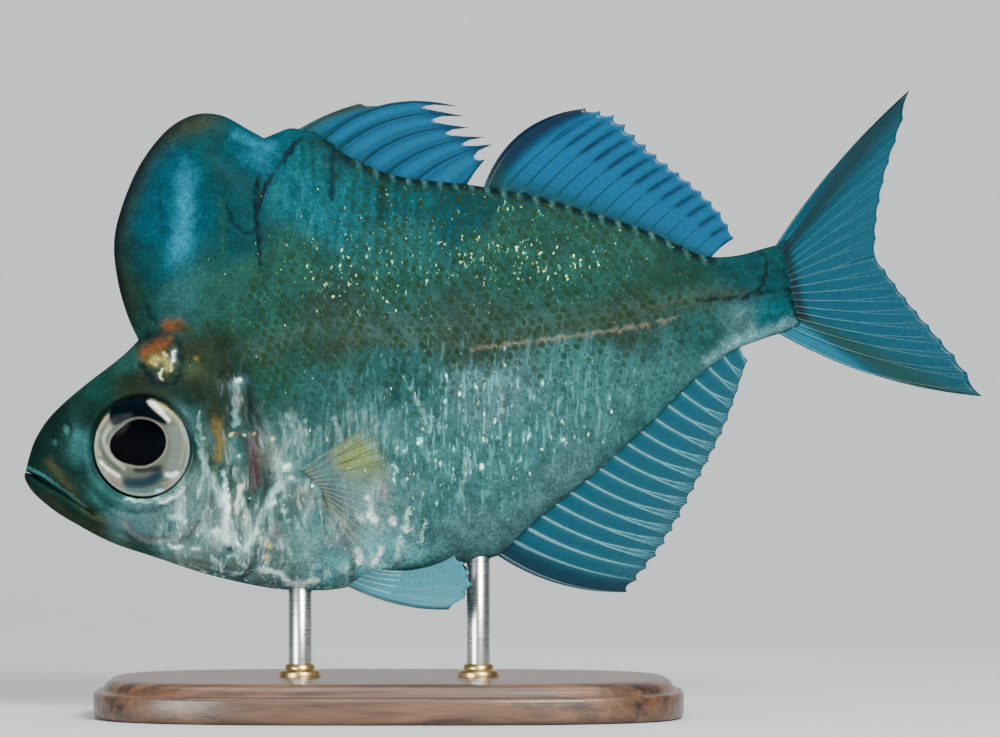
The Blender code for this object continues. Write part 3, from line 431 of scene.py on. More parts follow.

# Lines and edges drawn on the body: colour, strength, half width, and the line. The white, cream and gold
# ones are painted highlights and glints, the milk one a painted highlight on the hump, and the dark lines
# along the hump's folds painted shade.
STROKES = [
    (STRIPE, 0.75, 1.3, [(25.0, 6.0), (33.1, 6.2), (42.8, 3.8), (52.0, 1.9), (63.5, 0.9), (72.8, 0.3)]),
    (BARK, 0.48, 0.42, [
        (26.0, 4.4), (33.0, 4.9), (42.8, 2.4), (52.0, 1.0), (63.5, 0.6), (72.8, 0.2), (76.2, -0.3),
    ]),
    (SAND, 0.36, 0.18, [(47.0, 0.9), (54.1, 0.1), (61.8, -0.7), (67.6, -1.0)]),
    (RUST, 0.40, 0.13, [(47.0, 0.8), (54.1, 0.0), (61.8, -0.75), (67.6, -1.05)]),
    (INK, 0.85, 0.20, [(70.4, 0.3), (76.1, -0.4), (78.1, 2.4), (77.8, 3.6)]),
    (INK, 0.75, 0.16, [(76.3, -0.4), (79.9, -0.9)]),
    (INK, 0.60, 0.14, [(74.6, 1.9), (76.6, 1.1), (79.8, 1.4)]),
    (INK, 0.90, 0.34, [(80.2, 3.6), (80.0, 1.0), (79.8, -0.9), (79.8, -2.5), (80.1, -4.4)]),
    (INK, 0.65, 0.50, [(23.9, 4.2), (24.1, 1.4), (23.9, -2.4)]),
    (PEAT, 0.80, 0.60, [(21.1, 7.8), (21.1, 3.9), (20.0, 1.4), (19.4, 0.2)]),
    (OCHRE, 0.85, 0.50, [(19.9, -0.3), (20.0, -2.4), (19.4, -3.8)]),
    (SILVER, 0.85, 0.38, [(23.0, 3.1), (22.6, 1.8), (22.2, 0.2), (21.9, -0.9)]),
    (MAUVE, 0.70, 0.26, [(22.6, 2.4), (22.3, 0.8)]),
    (INK, 0.60, 0.18, [(24.2, 0.2), (23.9, -2.6), (24.0, -5.0), (23.4, -7.6), (22.2, -9.6)]),
    (BRIGHT_SILVER, 0.80, 0.18, [(18.6, 1.1), (18.2, -0.3), (18.3, -1.6)]),
    (SILVER, 0.75, 0.30, [
        (17.9, -1.2), (17.9, -3.6), (17.6, -5.3), (17.0, -6.9), (16.1, -8.6), (14.7, -10.2),
    ]),
    (BARK, 0.65, 0.22, [(18.7, -2.4), (18.6, -5.0), (17.9, -7.6), (16.7, -9.6)]),
    # Painted highlights on the ridge under the eye
    (CREAM_HIGHLIGHT, 0.80, 0.15, [(13.2, -6.9), (14.4, -6.5), (15.5, -5.9)]),
    (WHITE_HIGHLIGHT, 0.85, 0.13, [(12.5, -6.75), (13.9, -6.75), (15.2, -6.2)]),
    (BRIGHT_SILVER, 0.55, 0.15, [(9.2, -5.6), (11.2, -6.4), (13.4, -6.4)]),
    (ROSE, 0.35, 0.40, [(8.6, -8.0), (9.0, -9.2), (10.4, -10.2), (12.9, -10.6), (14.1, -10.0)]),
    (INK, 0.45, 0.16, [(8.2, -8.8), (9.2, -10.2), (10.6, -11.1), (12.9, -11.2)]),
    (BRIGHT_SILVER, 0.85, 0.20, [(19.6, -5.4), (19.2, -8.4)]),
    # Painted highlights on the gill cover
    (WHITE_HIGHLIGHT, 0.98, 0.40, [(19.2, -7.9), (18.9, -9.6), (18.4, -11.2)]),
    (CREAM_HIGHLIGHT, 0.85, 0.24, [(21.0, -7.0), (20.3, -8.4), (19.7, -9.4)]),
    (CREAM_HIGHLIGHT, 0.75, 0.20, [(20.9, -9.6), (20.3, -11.0)]),
    (DARK_OLIVE, 0.75, 0.22, [(20.3, -5.0), (19.8, -7.4), (19.3, -10.2)]),
    (DARK_OLIVE, 0.65, 0.20, [(21.9, -7.0), (21.0, -9.4), (19.8, -11.6)]),
    (BRIGHT_SILVER, 0.85, 0.30, [(24.7, -7.9), (23.3, -9.1), (22.3, -10.6), (21.2, -12.1), (20.2, -13.1)]),
    (BRIGHT_SILVER, 0.75, 0.15, [(21.9, -12.6), (21.0, -14.0)]),
    (SILVER, 0.85, 0.13, [(27.2, -1.2), (27.7, -3.6), (28.2, -5.9)]),
    (SILVER, 0.75, 0.12, [(28.8, -2.0), (28.7, -4.1), (28.5, -5.9)]),
    (SNOUT, 0.80, 0.50, [(0.7, 0.4), (2.4, -1.2), (3.4, -3.0), (4.4, -4.9)]),
    (OCHRE, 0.22, 0.42, [(2.4, -0.1), (3.2, -1.8), (4.1, -4.0), (5.4, -6.2), (6.8, -7.6)]),
    (PALE_TEAL, 0.80, 0.18, [(0.0, -0.2), (1.3, -1.2), (2.5, -2.5), (3.7, -3.9), (4.9, -5.4)]),
    (SNOUT, 0.75, 0.30, [(0.2, -1.5), (1.6, -3.4), (3.4, -5.5), (4.8, -7.2)]),
    (OCHRE, 0.12, 0.50, [(1.2, -3.6), (3.0, -5.9), (5.6, -8.1), (8.6, -10.3)]),
    (KHAKI, 0.90, 1.20, [(15.4, 7.4), (16.4, 6.6)]),
    (INK, 0.85, 0.26, [(13.8, 7.3), (14.4, 6.0), (15.2, 4.9), (17.1, 4.8), (18.0, 6.8), (18.0, 8.6)]),
    (INK, 0.80, 0.42, [(13.9, 9.5), (15.4, 9.8), (16.9, 9.8)]),
    (RUST, 0.90, 0.66, [(14.5, 8.3), (15.3, 8.6), (16.6, 8.75)]),
    (RUST, 0.90, 0.60, [(17.4, 10.4), (18.5, 10.3)]),
    (BARK, 0.85, 0.38, [(18.6, 10.1), (19.4, 9.4)]),
    (OCHRE, 0.90, 0.34, [(14.6, 7.4), (15.2, 7.0)]),
    # Painted gold sheen and glints on the nape
    (GOLD_SHINE, 0.30, 0.45, [(15.3, 7.4), (16.3, 7.2), (16.6, 6.4)]),
    (CREAM_HIGHLIGHT, 0.55, 0.09, [(16.3, 7.9), (16.6, 7.5)]),
    (WHITE_HIGHLIGHT, 0.80, 0.12, [(17.5, 7.8), (17.35, 7.3), (17.1, 6.9)]),
    (CREAM_HIGHLIGHT, 0.50, 0.10, [(17.1, 6.9), (16.85, 6.4), (16.6, 5.9)]),
    (CREAM_HIGHLIGHT, 0.85, 0.13, [(16.0, 6.2), (15.65, 5.8), (15.55, 5.3)]),
    (CREAM_HIGHLIGHT, 0.45, 0.09, [(14.8, 7.4), (15.3, 6.9)]),
    (KHAKI, 0.70, 0.80, [(18.6, 5.6), (19.4, 5.4)]),
    (SNOUT, 0.70, 0.80, [(16.8, 3.9), (18.1, 1.6), (18.3, -1.2)]),
    # Painted shade along the hump's folds, in this and the next three lines
    (CREASE, 0.40, 0.60, [(33.4, 24.6), (30.8, 22.2), (29.2, 19.8), (28.6, 16.6)]),
    (INK, 0.95, 0.24, [(34.8, 25.9), (32.6, 24.0), (30.6, 22.2), (28.8, 19.2), (28.5, 17.2), (28.0, 14.4)]),
    (INK, 0.95, 0.22, [(29.9, 23.0), (29.3, 21.4), (28.8, 19.8)]),
    (CREASE, 0.90, 0.20, [(26.0, 21.4), (26.3, 19.5), (26.9, 18.1), (28.3, 17.3)]),
    (MOSS, 0.60, 0.36, [(25.8, 21.5), (25.4, 19.2), (24.8, 16.9), (24.7, 15.7)]),
    # Painted shade in two small folds of the hump
    (CREASE, 0.60, 0.16, [(20.0, 24.8), (19.6, 23.0), (19.4, 21.0)]),
    (CREASE, 0.80, 0.20, [(15.9, 13.2), (15.8, 12.1), (16.4, 10.9)]),
    (MOSS, 0.50, 0.60, [(28.6, 4.6), (30.6, 4.9), (33.0, 5.6)]),
    (CREASE, 0.95, 0.36, [(37.9, 24.4), (37.3, 21.8), (36.6, 19.2)]),
    (CREASE, 0.90, 0.32, [(42.0, 20.0), (41.6, 17.9), (41.0, 16.0)]),
    (PEARL, 0.40, 0.60, [(70.0, -6.1), (73.0, -4.9), (76.0, -4.6), (79.0, -4.2)]),
    # Painted highlight at the hump's notch
    (MILK_AND_HIGHLIGHT, 0.50, 0.55, [(28.6, 27.6), (30.2, 26.6), (31.8, 25.6)]),
    (ROSE, 0.20, 0.40, [(13.0, -13.1), (16.0, -14.6), (19.4, -16.2)]),
    (HAZE, 0.75, 0.60, [(16.0, -15.1), (20.0, -17.2), (24.0, -18.9)]),
    (MAUVE, 0.70, 0.34, [(29.2, -12.0), (29.6, -14.4), (30.2, -17.0), (29.4, -19.0)]),
    (SAND, 0.75, 0.34, [(26.7, -8.9), (28.0, -10.0), (29.0, -11.2), (30.2, -12.8), (30.6, -15.0)]),
    (INK, 0.55, 0.13, [(26.0, -7.4), (27.5, -7.8), (28.6, -9.2), (28.9, -10.4)]),
    # Painted highlights along the breast and the belly
    (WHITE_HIGHLIGHT, 0.98, 0.28, [
        (20.6, -15.8), (21.6, -16.2), (22.7, -16.8), (23.1, -17.7), (24.2, -18.3), (26.0, -18.2),
    ]),
    (WHITE_HIGHLIGHT, 0.95, 0.24, [(33.2, -16.6), (32.5, -17.5), (31.9, -18.1)]),
    (WHITE_HIGHLIGHT, 0.90, 0.30, [(30.9, -16.1), (30.7, -17.5)]),
    (BRIGHT_SILVER, 0.90, 0.20, [(35.5, -15.9), (34.9, -16.9), (34.4, -17.8)]),
    (BRIGHT_SILVER, 0.80, 0.18, [(36.9, -13.3), (36.0, -15.2)]),
    (BRIGHT_SILVER, 0.65, 0.16, [(38.2, -15.0), (37.2, -17.0)]),
    (SILVER, 0.85, 0.14, [(31.6, -2.7), (32.2, -6.2)]),
    (BRIGHT_SILVER, 0.20, 0.16, [(39.9, -1.3), (40.5, -4.0), (40.8, -6.4)]),
    (BRIGHT_SILVER, 0.26, 0.16, [(48.8, -3.4), (48.4, -6.0)]),
    (PLUM, 0.97, 0.85, [(23.2, -3.1), (23.0, -4.8), (22.6, -6.6)]),
    (PLUM, 0.80, 0.30, [(22.8, -6.3), (22.2, -7.9)]),
    (SILVER, 0.60, 0.20, [(44.0, -9.4), (43.0, -11.8), (41.9, -13.7)]),
]

# Spots drawn on the body: colour, strength, centre, half sizes and turn. The white, cream and gold spots are
# painted highlights and glints, and the long milk spot down the hump's bulge a painted highlight.
SPOTS = [
    (RUST, 0.80, (17.4, 9.1), (0.28, 0.24), 0), (OCHRE, 0.80, (19.5, 6.4), (0.24, 0.22), 0),
    (CREAM_HIGHLIGHT, 0.60, (15.7, 7.35), (0.13, 0.11), 0), (GOLD_SHINE, 0.80, (16.4, 7.9), (0.16, 0.10), 0),
    # Milky blue on the hump; the long spot down its bulge is a painted highlight
    (MILK_AND_HIGHLIGHT, 0.95, (21.7, 21.0), (1.0, 3.6), -12), (MILK_AND_HIGHLIGHT, 0.55, (20.0, 17.8), (1.0, 2.2), -30),
    (MILK_AND_HIGHLIGHT, 0.40, (22.9, 24.6), (1.1, 1.6), -20), (BARK, 0.60, (24.8, 29.6), (2.4, 0.9), 8),
    (MILK_AND_HIGHLIGHT, 0.40, (30.3, 24.9), (1.2, 0.9), -30), (TEAL, 0.30, (31.6, 23.8), (1.4, 1.0), -30),
    (WHITE_HIGHLIGHT, 1.00, (17.9, -11.8), (1.05, 0.60), 12), (WHITE_HIGHLIGHT, 0.95, (17.4, -11.1), (0.5, 0.5), 0),
    (INK, 0.80, (18.3, -12.9), (0.40, 0.30), 0), (BRIGHT_SILVER, 0.80, (18.3, -13.8), (0.7, 0.20), -12),
    (WHITE_HIGHLIGHT, 0.95, (13.1, -11.6), (0.85, 0.20), -18), (WHITE_HIGHLIGHT, 0.90, (14.8, -12.2), (0.5, 0.22), -5),
    (WHITE_HIGHLIGHT, 0.85, (21.3, -11.9), (0.40, 0.34), 20), (WHITE_HIGHLIGHT, 0.80, (19.3, -12.9), (0.28, 0.50), 30),
    (CREAM_HIGHLIGHT, 0.95, (22.0, -13.4), (0.46, 0.42), 0), (CREAM_HIGHLIGHT, 0.90, (21.6, -14.7), (0.50, 0.36), 0),
    (GOLD_SHINE, 0.70, (22.1, -13.6), (0.26, 0.20), 0), (ROSE, 0.60, (23.3, -12.6), (0.35, 1.2), 15),
    (WHITE_HIGHLIGHT, 0.98, (25.9, -6.2), (0.46, 0.30), 0), (RUST, 0.70, (26.8, -5.8), (0.28, 0.20), 0),
    (WHITE_HIGHLIGHT, 0.90, (25.7, -7.4), (0.26, 0.20), 0), (WHITE_HIGHLIGHT, 0.90, (26.3, -7.6), (0.24, 0.19), 0),
    (WHITE_HIGHLIGHT, 0.90, (23.6, -9.5), (0.42, 0.26), 25), (BRIGHT_SILVER, 0.80, (24.7, -10.6), (0.26, 0.20), 0),
    (BRIGHT_SILVER, 0.80, (24.9, -11.7), (0.28, 0.20), 0), (GREY_TEAL, 0.80, (25.2, -8.9), (0.7, 1.0), 0),
    (WHITE_HIGHLIGHT, 0.98, (33.1, -13.3), (0.40, 0.95), 8), (WHITE_HIGHLIGHT, 0.90, (35.0, -14.2), (0.28, 0.55), 8),
    (WHITE_HIGHLIGHT, 0.90, (36.1, -15.2), (0.34, 0.34), 0), (WHITE_HIGHLIGHT, 0.85, (33.0, -11.3), (0.30, 0.28), 0),
    (BRIGHT_SILVER, 0.85, (31.8, -12.9), (0.30, 0.60), 8), (INK, 0.60, (34.6, -18.4), (0.7, 0.34), 20),
    (PLUM, 0.45, (26.7, -10.2), (1.0, 1.0), 25), (SAND, 0.55, (24.6, -5.0), (0.9, 2.6), 6),
    (ROSE, 0.70, (34.9, -11.0), (0.34, 1.0), -12), (PEARL, 0.42, (26.3, -14.7), (2.1, 2.6), 0),
    (ROSE, 0.60, (15.3, -9.9), (0.42, 0.36), 0), (WHITE_HIGHLIGHT, 0.60, (14.6, -9.2), (0.24, 0.20), 0),
    (BRIGHT_SILVER, 0.60, (13.8, -8.6), (0.8, 0.4), -20), (MAUVE, 0.25, (11.4, -8.9), (1.0, 0.8), 0),
    (PEARL, 0.12, (15.2, -8.4), (2.0, 1.2), -30),
    (WHITE_HIGHLIGHT, 0.85, (23.1, 3.25), (0.34, 0.18), 0), (ROSE, 0.30, (22.7, 1.6), (0.3, 0.9), 10),
    (PALE_TEAL, 0.70, (4.93, 2.6), (0.36, 0.52), 0), (PALE_TEAL, 0.60, (3.5, 1.7), (0.30, 0.40), 0),
    (GOLD_SHINE, 0.90, (21.2, -1.8), (0.24, 0.13), -10), (RUST, 0.80, (21.8, -1.9), (0.20, 0.13), 0),
    (GOLD_SHINE, 0.85, (22.4, -2.1), (0.22, 0.12), 0), (GOLD_SHINE, 0.70, (23.6, -2.3), (0.18, 0.12), 0),
    (WHITE_HIGHLIGHT, 0.75, (21.5, -4.2), (0.17, 0.15), 0), (CREAM_HIGHLIGHT, 0.70, (25.2, -3.2), (0.20, 0.14), 0),
    (PALE_TEAL, 0.45, (6.0, 0.9), (1.0, 1.9), 10), (PALE_TEAL, 0.35, (6.6, -3.4), (0.8, 1.6), 10),
]


def blend(ground, colour, share):
    return ground + (np.array(colour) - ground) * np.clip(share, 0.0, 1.0)[:, None]


def back_streaks(a, b):
    """Pale upright streaks under the first back fin, where the bones that carry it show through."""
    from_back = distance_to(BACK, a, b)
    wave = 0.5 + 0.5 * np.sin(2 * math.pi * (a + 0.28 * from_back) / 1.05 + 1.7 * np.sin(a * 0.9))
    where = smooth(30.5, 34.0, a) * (1 - smooth(43.0, 50.0, a))
    return wave * where * smooth(0.5, 2.5, from_back) * (1 - smooth(7.5, 11.5, from_back))


def back_beads(a, b):
    """The dark line along the foot of the back fins, and how far the pale beads of the ray roots break it."""
    from_back = distance_to(BACK, a, b)
    line = bell(from_back - 0.25, 0.50) * smooth(36.4, 38.0, a)
    bead = smooth(0.35, 0.95, np.cos(2 * math.pi * (a - 37.0) / 1.52)) * smooth(38.0, 41.0, a)
    return line * (1 - smooth(72.5, 74.0, a)), bead


def tint(a, b):
    """The body's colour at each point (a, b), the same on both flanks. Its strokes waver a little."""
    a, b = np.ravel(a), np.ravel(b)
    total = np.zeros((len(a), 3))
    weights = np.zeros(len(a))
    for place_a, place_b, colour in GROUND:
        weight = 1 / (((a - place_a) ** 2 + (b - place_b) ** 2) + 1.2) ** 2.4
        total += weight[:, None] * np.array(colour)
        weights += weight
    colours = GROUND_SHADE * total / weights[:, None]
    colours = blend(colours, SEA, 0.40 * back_streaks(a, b))
    front_rim = (1 - smooth(25.0, 29.0, a)) * smooth(10.0, 14.0, b)
    colours = blend(colours, BARK, 0.62 * near(HUMP_EDGE, a, b, 1.6) * front_rim)
    colours = blend(colours, INK, 0.92 * near(HUMP_EDGE, a, b, 0.8) * front_rim)
    line, bead = back_beads(a, b)
    colours = blend(colours, INK, 0.97 * line * (1 - bead))
    colours = blend(colours, SILVER, 0.22 * line * bead)
    waver = STROKE_WAVER * smooth(6.0, 10.0, a)
    shift_a = waver * np.sin(4.3 * b + 2 * np.sin(2.9 * a))
    shift_b = waver * np.sin(3.9 * a + 2 * np.sin(2.6 * b))
    a, b = a + shift_a, b + shift_b
    for colour, strength, width, line in STROKES:
        # A painted pale glow round each white highlight
        if colour is WHITE_HIGHLIGHT:
            colours = blend(colours, PEARL, HIGHLIGHT_GLOW * strength * near(spline(line), a, b, HIGHLIGHT_GLOW_REACH * width))
        share = near(spline(line), a, b, width)
        colours = blend(colours, colour, strength * (crisp(share) if width < 0.4 else share))
    for colour, strength, centre, size, turn in SPOTS:
        # A painted pale glow round each white highlight
        if colour is WHITE_HIGHLIGHT:
            wide = (HIGHLIGHT_GLOW_REACH * size[0], HIGHLIGHT_GLOW_REACH * size[1])
            colours = blend(colours, PEARL, HIGHLIGHT_GLOW * strength * blob(a, b, centre, wide, turn))
        share = blob(a, b, centre, size, turn)
        colours = blend(colours, colour, strength * (crisp(share) if min(size) < 0.6 else share))
    return colours


def silver_share(a, b):
    """How silvery the skin is: most on the gill cover, the breast and the belly."""
    low = smooth(1.0, -9.0, b - 0.10 * (a - 20.0)) * smooth(9.0, 16.0, a) * (1 - smooth(24.0, 42.0, a))
    low *= 1 - 0.85 * blob(a, b, (26.3, -14.7), (2.6, 3.2))
    low *= 1 - 0.95 * blob(a, b, (22.3, -4.8), (1.7, 3.0), 12)
    low *= 1 - 0.75 * blob(a, b, (29.0, -7.0), (4.6, 3.6), -20)
    nape = 0.06 * blob(a, b, (16.0, 7.0), (1.8, 1.8)) + 0.3 * blob(a, b, (22.6, 1.8), (1.2, 2.4))
    return np.clip(0.90 * low + nape, 0.0, 1.0)


def sparkle_share(a, b):
    """How many specks glitter: on the nape, the gill cover and in drifts along the flank."""
    share = 0.50 * blob(a, b, (15.9, 7.2), (1.5, 1.2)) + 0.45 * blob(a, b, (19.4, 6.2), (1.3, 1.3))
    share += 0.45 * blob(a, b, (25.0, 5.2), (2.2, 0.7), -40) + 0.30 * blob(a, b, (21.4, -1.6), (1.6, 0.8))
    share += 0.20 * blob(a, b, (20.0, 14.2), (3.2, 2.6)) + 0.55 * blob(a, b, (18.0, -10.0), (4.5, 4.5))
    share += 0.70 * blob(a, b, (57.0, 7.6), (9.5, 2.0), -17)
    share += 0.60 * blob(a, b, (53.0, 14.3), (6.0, 1.0), -26)
    share += 0.70 * blob(a, b, (49.0, 9.5), (15.0, 6.0), -15) + 0.50 * blob(a, b, (35.0, 11.0), (8.0, 7.0))
    share += 0.25 * blob(a, b, (30.0, 1.4), (5.0, 1.6))
    return np.clip(share, 0.0, 1.0)


def streak_share(a, b):
    """Where pale upright streaks of folded silver cross the flank."""
    column = smooth(-0.9, 0.8, np.cos(2 * math.pi * (a - 0.16 * b + 0.5 * np.sin(0.35 * a)) / 1.42))
    share = 1.3 * blob(a, b, (41.5, -8.0), (10.0, 7.2), -6) + 0.12 * blob(a, b, (33.5, 18.6), (3.4, 5.6))
    share += 0.85 * blob(a, b, (53.0, -7.0), (10.0, 5.4), -20)
    return np.clip(share * (0.50 + 0.50 * column), 0.0, 1.0)


def to_world(points):
    """Points (a, c, b) of the fish's frame in millimetres, as places in the scene in metres."""
    p = np.asarray(points, float).reshape(-1, 3)
    x = SNOUT_X + p[:, 0] * math.cos(TILT) - p[:, 2] * math.sin(TILT)
    z = SNOUT_Z + p[:, 0] * math.sin(TILT) + p[:, 2] * math.cos(TILT)
    return np.column_stack([x, p[:, 1], z]) * MM


def to_fish(places):
    """The reverse of to_world."""
    p = np.asarray(places, float).reshape(-1, 3) / MM
    x, z = p[:, 0] - SNOUT_X, p[:, 2] - SNOUT_Z
    a = x * math.cos(TILT) + z * math.sin(TILT)
    b = -x * math.sin(TILT) + z * math.cos(TILT)
    return np.column_stack([a, p[:, 1], b])


def turned(vectors):
    """Directions (a, c, b) of the fish's frame as directions in the scene."""
    v = np.asarray(vectors, float)
    x = v[:, 0] * math.cos(TILT) - v[:, 2] * math.sin(TILT)
    z = v[:, 0] * math.sin(TILT) + v[:, 2] * math.cos(TILT)
    return np.column_stack([x, v[:, 1], z])


def add_mesh(name, places, faces=(), edges=(), look=None):
    """An object from places in metres, with smooth faces."""
    mesh = bpy.data.meshes.new(name)
    points = [tuple(p) for p in np.asarray(places, float)]
    mesh.from_pydata(points, list(edges), [list(map(int, face)) for face in faces])
    mesh.update()
    if len(faces):
        mesh.shade_smooth()
    if look is not None:
        mesh.materials.append(look)
    made = bpy.data.objects.new(name, mesh)
    bpy.context.scene.collection.objects.link(made)
    return made


def set_attribute(mesh, name, kind, values):
    """Stores a value for each point of a mesh."""
    made = mesh.attributes.get(name) or mesh.attributes.new(name, kind, "POINT")
    values = np.asarray(values, np.float32)
    if kind == "FLOAT_COLOR":
        values = np.column_stack([values, np.ones(len(values))])
        made.data.foreach_set("color", values.astype(np.float32).ravel())
    elif kind == "FLOAT_VECTOR":
        made.data.foreach_set("vector", values.ravel())
    else:
        made.data.foreach_set("value", values.ravel())


def get_attribute(mesh, name, width=1):
    found = mesh.attributes[name]
    key = {1: "value", 3: "vector"}[width]
    values = np.empty(len(found.data) * width, np.float32)
    found.data.foreach_get(key, values)
    return values.reshape(-1, width) if width > 1 else values


def drop_attributes(mesh, *names):
    for name in names:
        if name in mesh.attributes:
            mesh.attributes.remove(mesh.attributes[name])


def places_of(mesh):
    values = np.empty(len(mesh.vertices) * 3, np.float32)
    mesh.vertices.foreach_get("co", values)
    return values.reshape(-1, 3).astype(float)


def paint_body(mesh, shade=1.0):
    """Gives a mesh on the body the markings of the place that each point is over, its colour times shade."""
    a, _, b = to_fish(places_of(mesh)).T
    set_attribute(mesh, "tint", "FLOAT_COLOR", tint(a, b) * shade)
    for name, share in (("silver", silver_share), ("sparkle", sparkle_share), ("streaks", streak_share)):
        set_attribute(mesh, name, "FLOAT", share(a, b))


# Shader nodes


class Wiring:
    """Adds shader nodes to a tree and links them; each shape of node returns the output with its result."""

    def __init__(self, tree):
        self.nodes, self.links = tree.nodes, tree.links

    def feed(self, socket, value):
        """Links an output to a socket, or sets the socket's own value."""
        if isinstance(value, bpy.types.NodeSocket):
            self.links.new(value, socket)
        else:
            socket.default_value = value

    def add(self, kind, fed=(), **properties):
        made = self.nodes.new(kind)
        for name, value in properties.items():
            setattr(made, name, value)
        for key, value in dict(fed).items():
            self.feed(made.inputs[key], value)
        return made

    def attribute(self, name, output="Fac"):
        return self.add("ShaderNodeAttribute", attribute_name=name).outputs[output]

    def place(self, scale=(1.0, 1.0, 1.0), turn_deg=0.0):
        """Object coordinates, turned in the side view and stretched."""
        place = self.add("ShaderNodeTexCoord").outputs["Object"]
        fed = {"Vector": place, "Scale": scale, "Rotation": (0.0, math.radians(turn_deg), 0.0)}
        return self.add("ShaderNodeMapping", fed).outputs["Vector"]

    def noise(self, vector, scale=1.0, **fed):
        return self.add("ShaderNodeTexNoise", {"Vector": vector, "Scale": scale, **fed}).outputs["Fac"]

    def spread(self, value, low, high, to_low=0.0, to_high=1.0):
        fed = {"Value": value, "From Min": low, "From Max": high, "To Min": to_low, "To Max": to_high}
        return self.add("ShaderNodeMapRange", fed).outputs["Result"]

    def maths(self, operation, first, second):
        return self.add("ShaderNodeMath", {0: first, 1: second}, operation=operation).outputs["Value"]

    def times(self, first, second):
        return self.maths("MULTIPLY", first, second)

    def mixed(self, base, colour, share):
        """The base colour mixed towards another by a share."""
        return self.add("ShaderNodeMix", {0: share, 6: base, 7: (*colour, 1.0)}, data_type="RGBA").outputs[2]

    def scaled(self, colour, factor):
        fed = {0: colour, "Scale": factor}
        return self.add("ShaderNodeVectorMath", fed, operation="SCALE").outputs["Vector"]

    def bump(self, height, strength, distance):
        fed = {"Height": height, "Strength": strength, "Distance": distance}
        return self.add("ShaderNodeBump", fed).outputs["Normal"]

    def group(self, name, **fed):
        """The mask of one of the shared groups."""
        return self.add("ShaderNodeGroup", fed, node_tree=GROUPS[name]).outputs["Mask"]


def mask_group(name, fill, **inputs):
    """A shader node group with named number inputs, whose one output is what fill(wiring, inputs) returns."""
    group = bpy.data.node_groups.new(name, "ShaderNodeTree")
    for label, value in inputs.items():
        group.interface.new_socket(label, in_out="INPUT", socket_type="NodeSocketFloat").default_value = value
    group.interface.new_socket("Mask", in_out="OUTPUT", socket_type="NodeSocketFloat")
    wiring = Wiring(group)
    inlet, outlet = wiring.add("NodeGroupInput"), wiring.add("NodeGroupOutput")
    wiring.feed(outlet.inputs["Mask"], fill(wiring, inlet.outputs))
    return group


def mottle(wiring, given):
    """Soft patches."""
    return wiring.spread(wiring.noise(wiring.place(), given["Scale"], Detail=3.0, Roughness=0.6), 0.35, 0.65)


def foil(wiring, given):
    """Soft uneven flakes of silver."""
    noise = wiring.noise(wiring.place((1.7, 1.0, 0.50), -10.0), given["Scale"], Detail=2.5, Distortion=0.7)
    return wiring.spread(noise, 0.48, 0.62)


def streaks(wiring, given):
    """Broken upright streaks."""
    noise = wiring.noise(wiring.place((2.9, 1.0, 0.62), -8.0), given["Scale"], Detail=2.0, Distortion=0.2)
    return wiring.spread(noise, 0.54, 0.68)


def glints(wiring, given):
    """Small uneven glints in clusters, more of them where Share is higher."""
    cluster = wiring.spread(wiring.noise(wiring.place(), 700.0, Detail=1.0), 0.36, 0.64, 0.35, 1.25)
    low = wiring.maths("SUBTRACT", 0.76, wiring.times(wiring.times(given["Share"], cluster), 0.155))
    noise = wiring.noise(wiring.place((1.0, 1.0, 0.55), 14.0), given["Scale"], Detail=1.0, Roughness=0.5)
    gate = wiring.spread(given["Share"], 0.02, 0.14)
    power = wiring.spread(wiring.noise(wiring.place(), 2900.0), 0.36, 0.60, 0.25, 1.0)
    lit = wiring.spread(noise, low, wiring.maths("ADD", low, given["Softness"]))
    return wiring.times(wiring.times(gate, power), wiring.times(lit, lit))


def new_material(name, **constants):
    """A material, its wiring and its shader's inputs, with the constants set by socket name."""
    made = bpy.data.materials.new(name)
    made.use_nodes = True
    shader = made.node_tree.nodes["Principled BSDF"].inputs
    for key, value in constants.items():
        shader[key.replace("_", " ")].default_value = value
    return made, Wiring(made.node_tree), shader


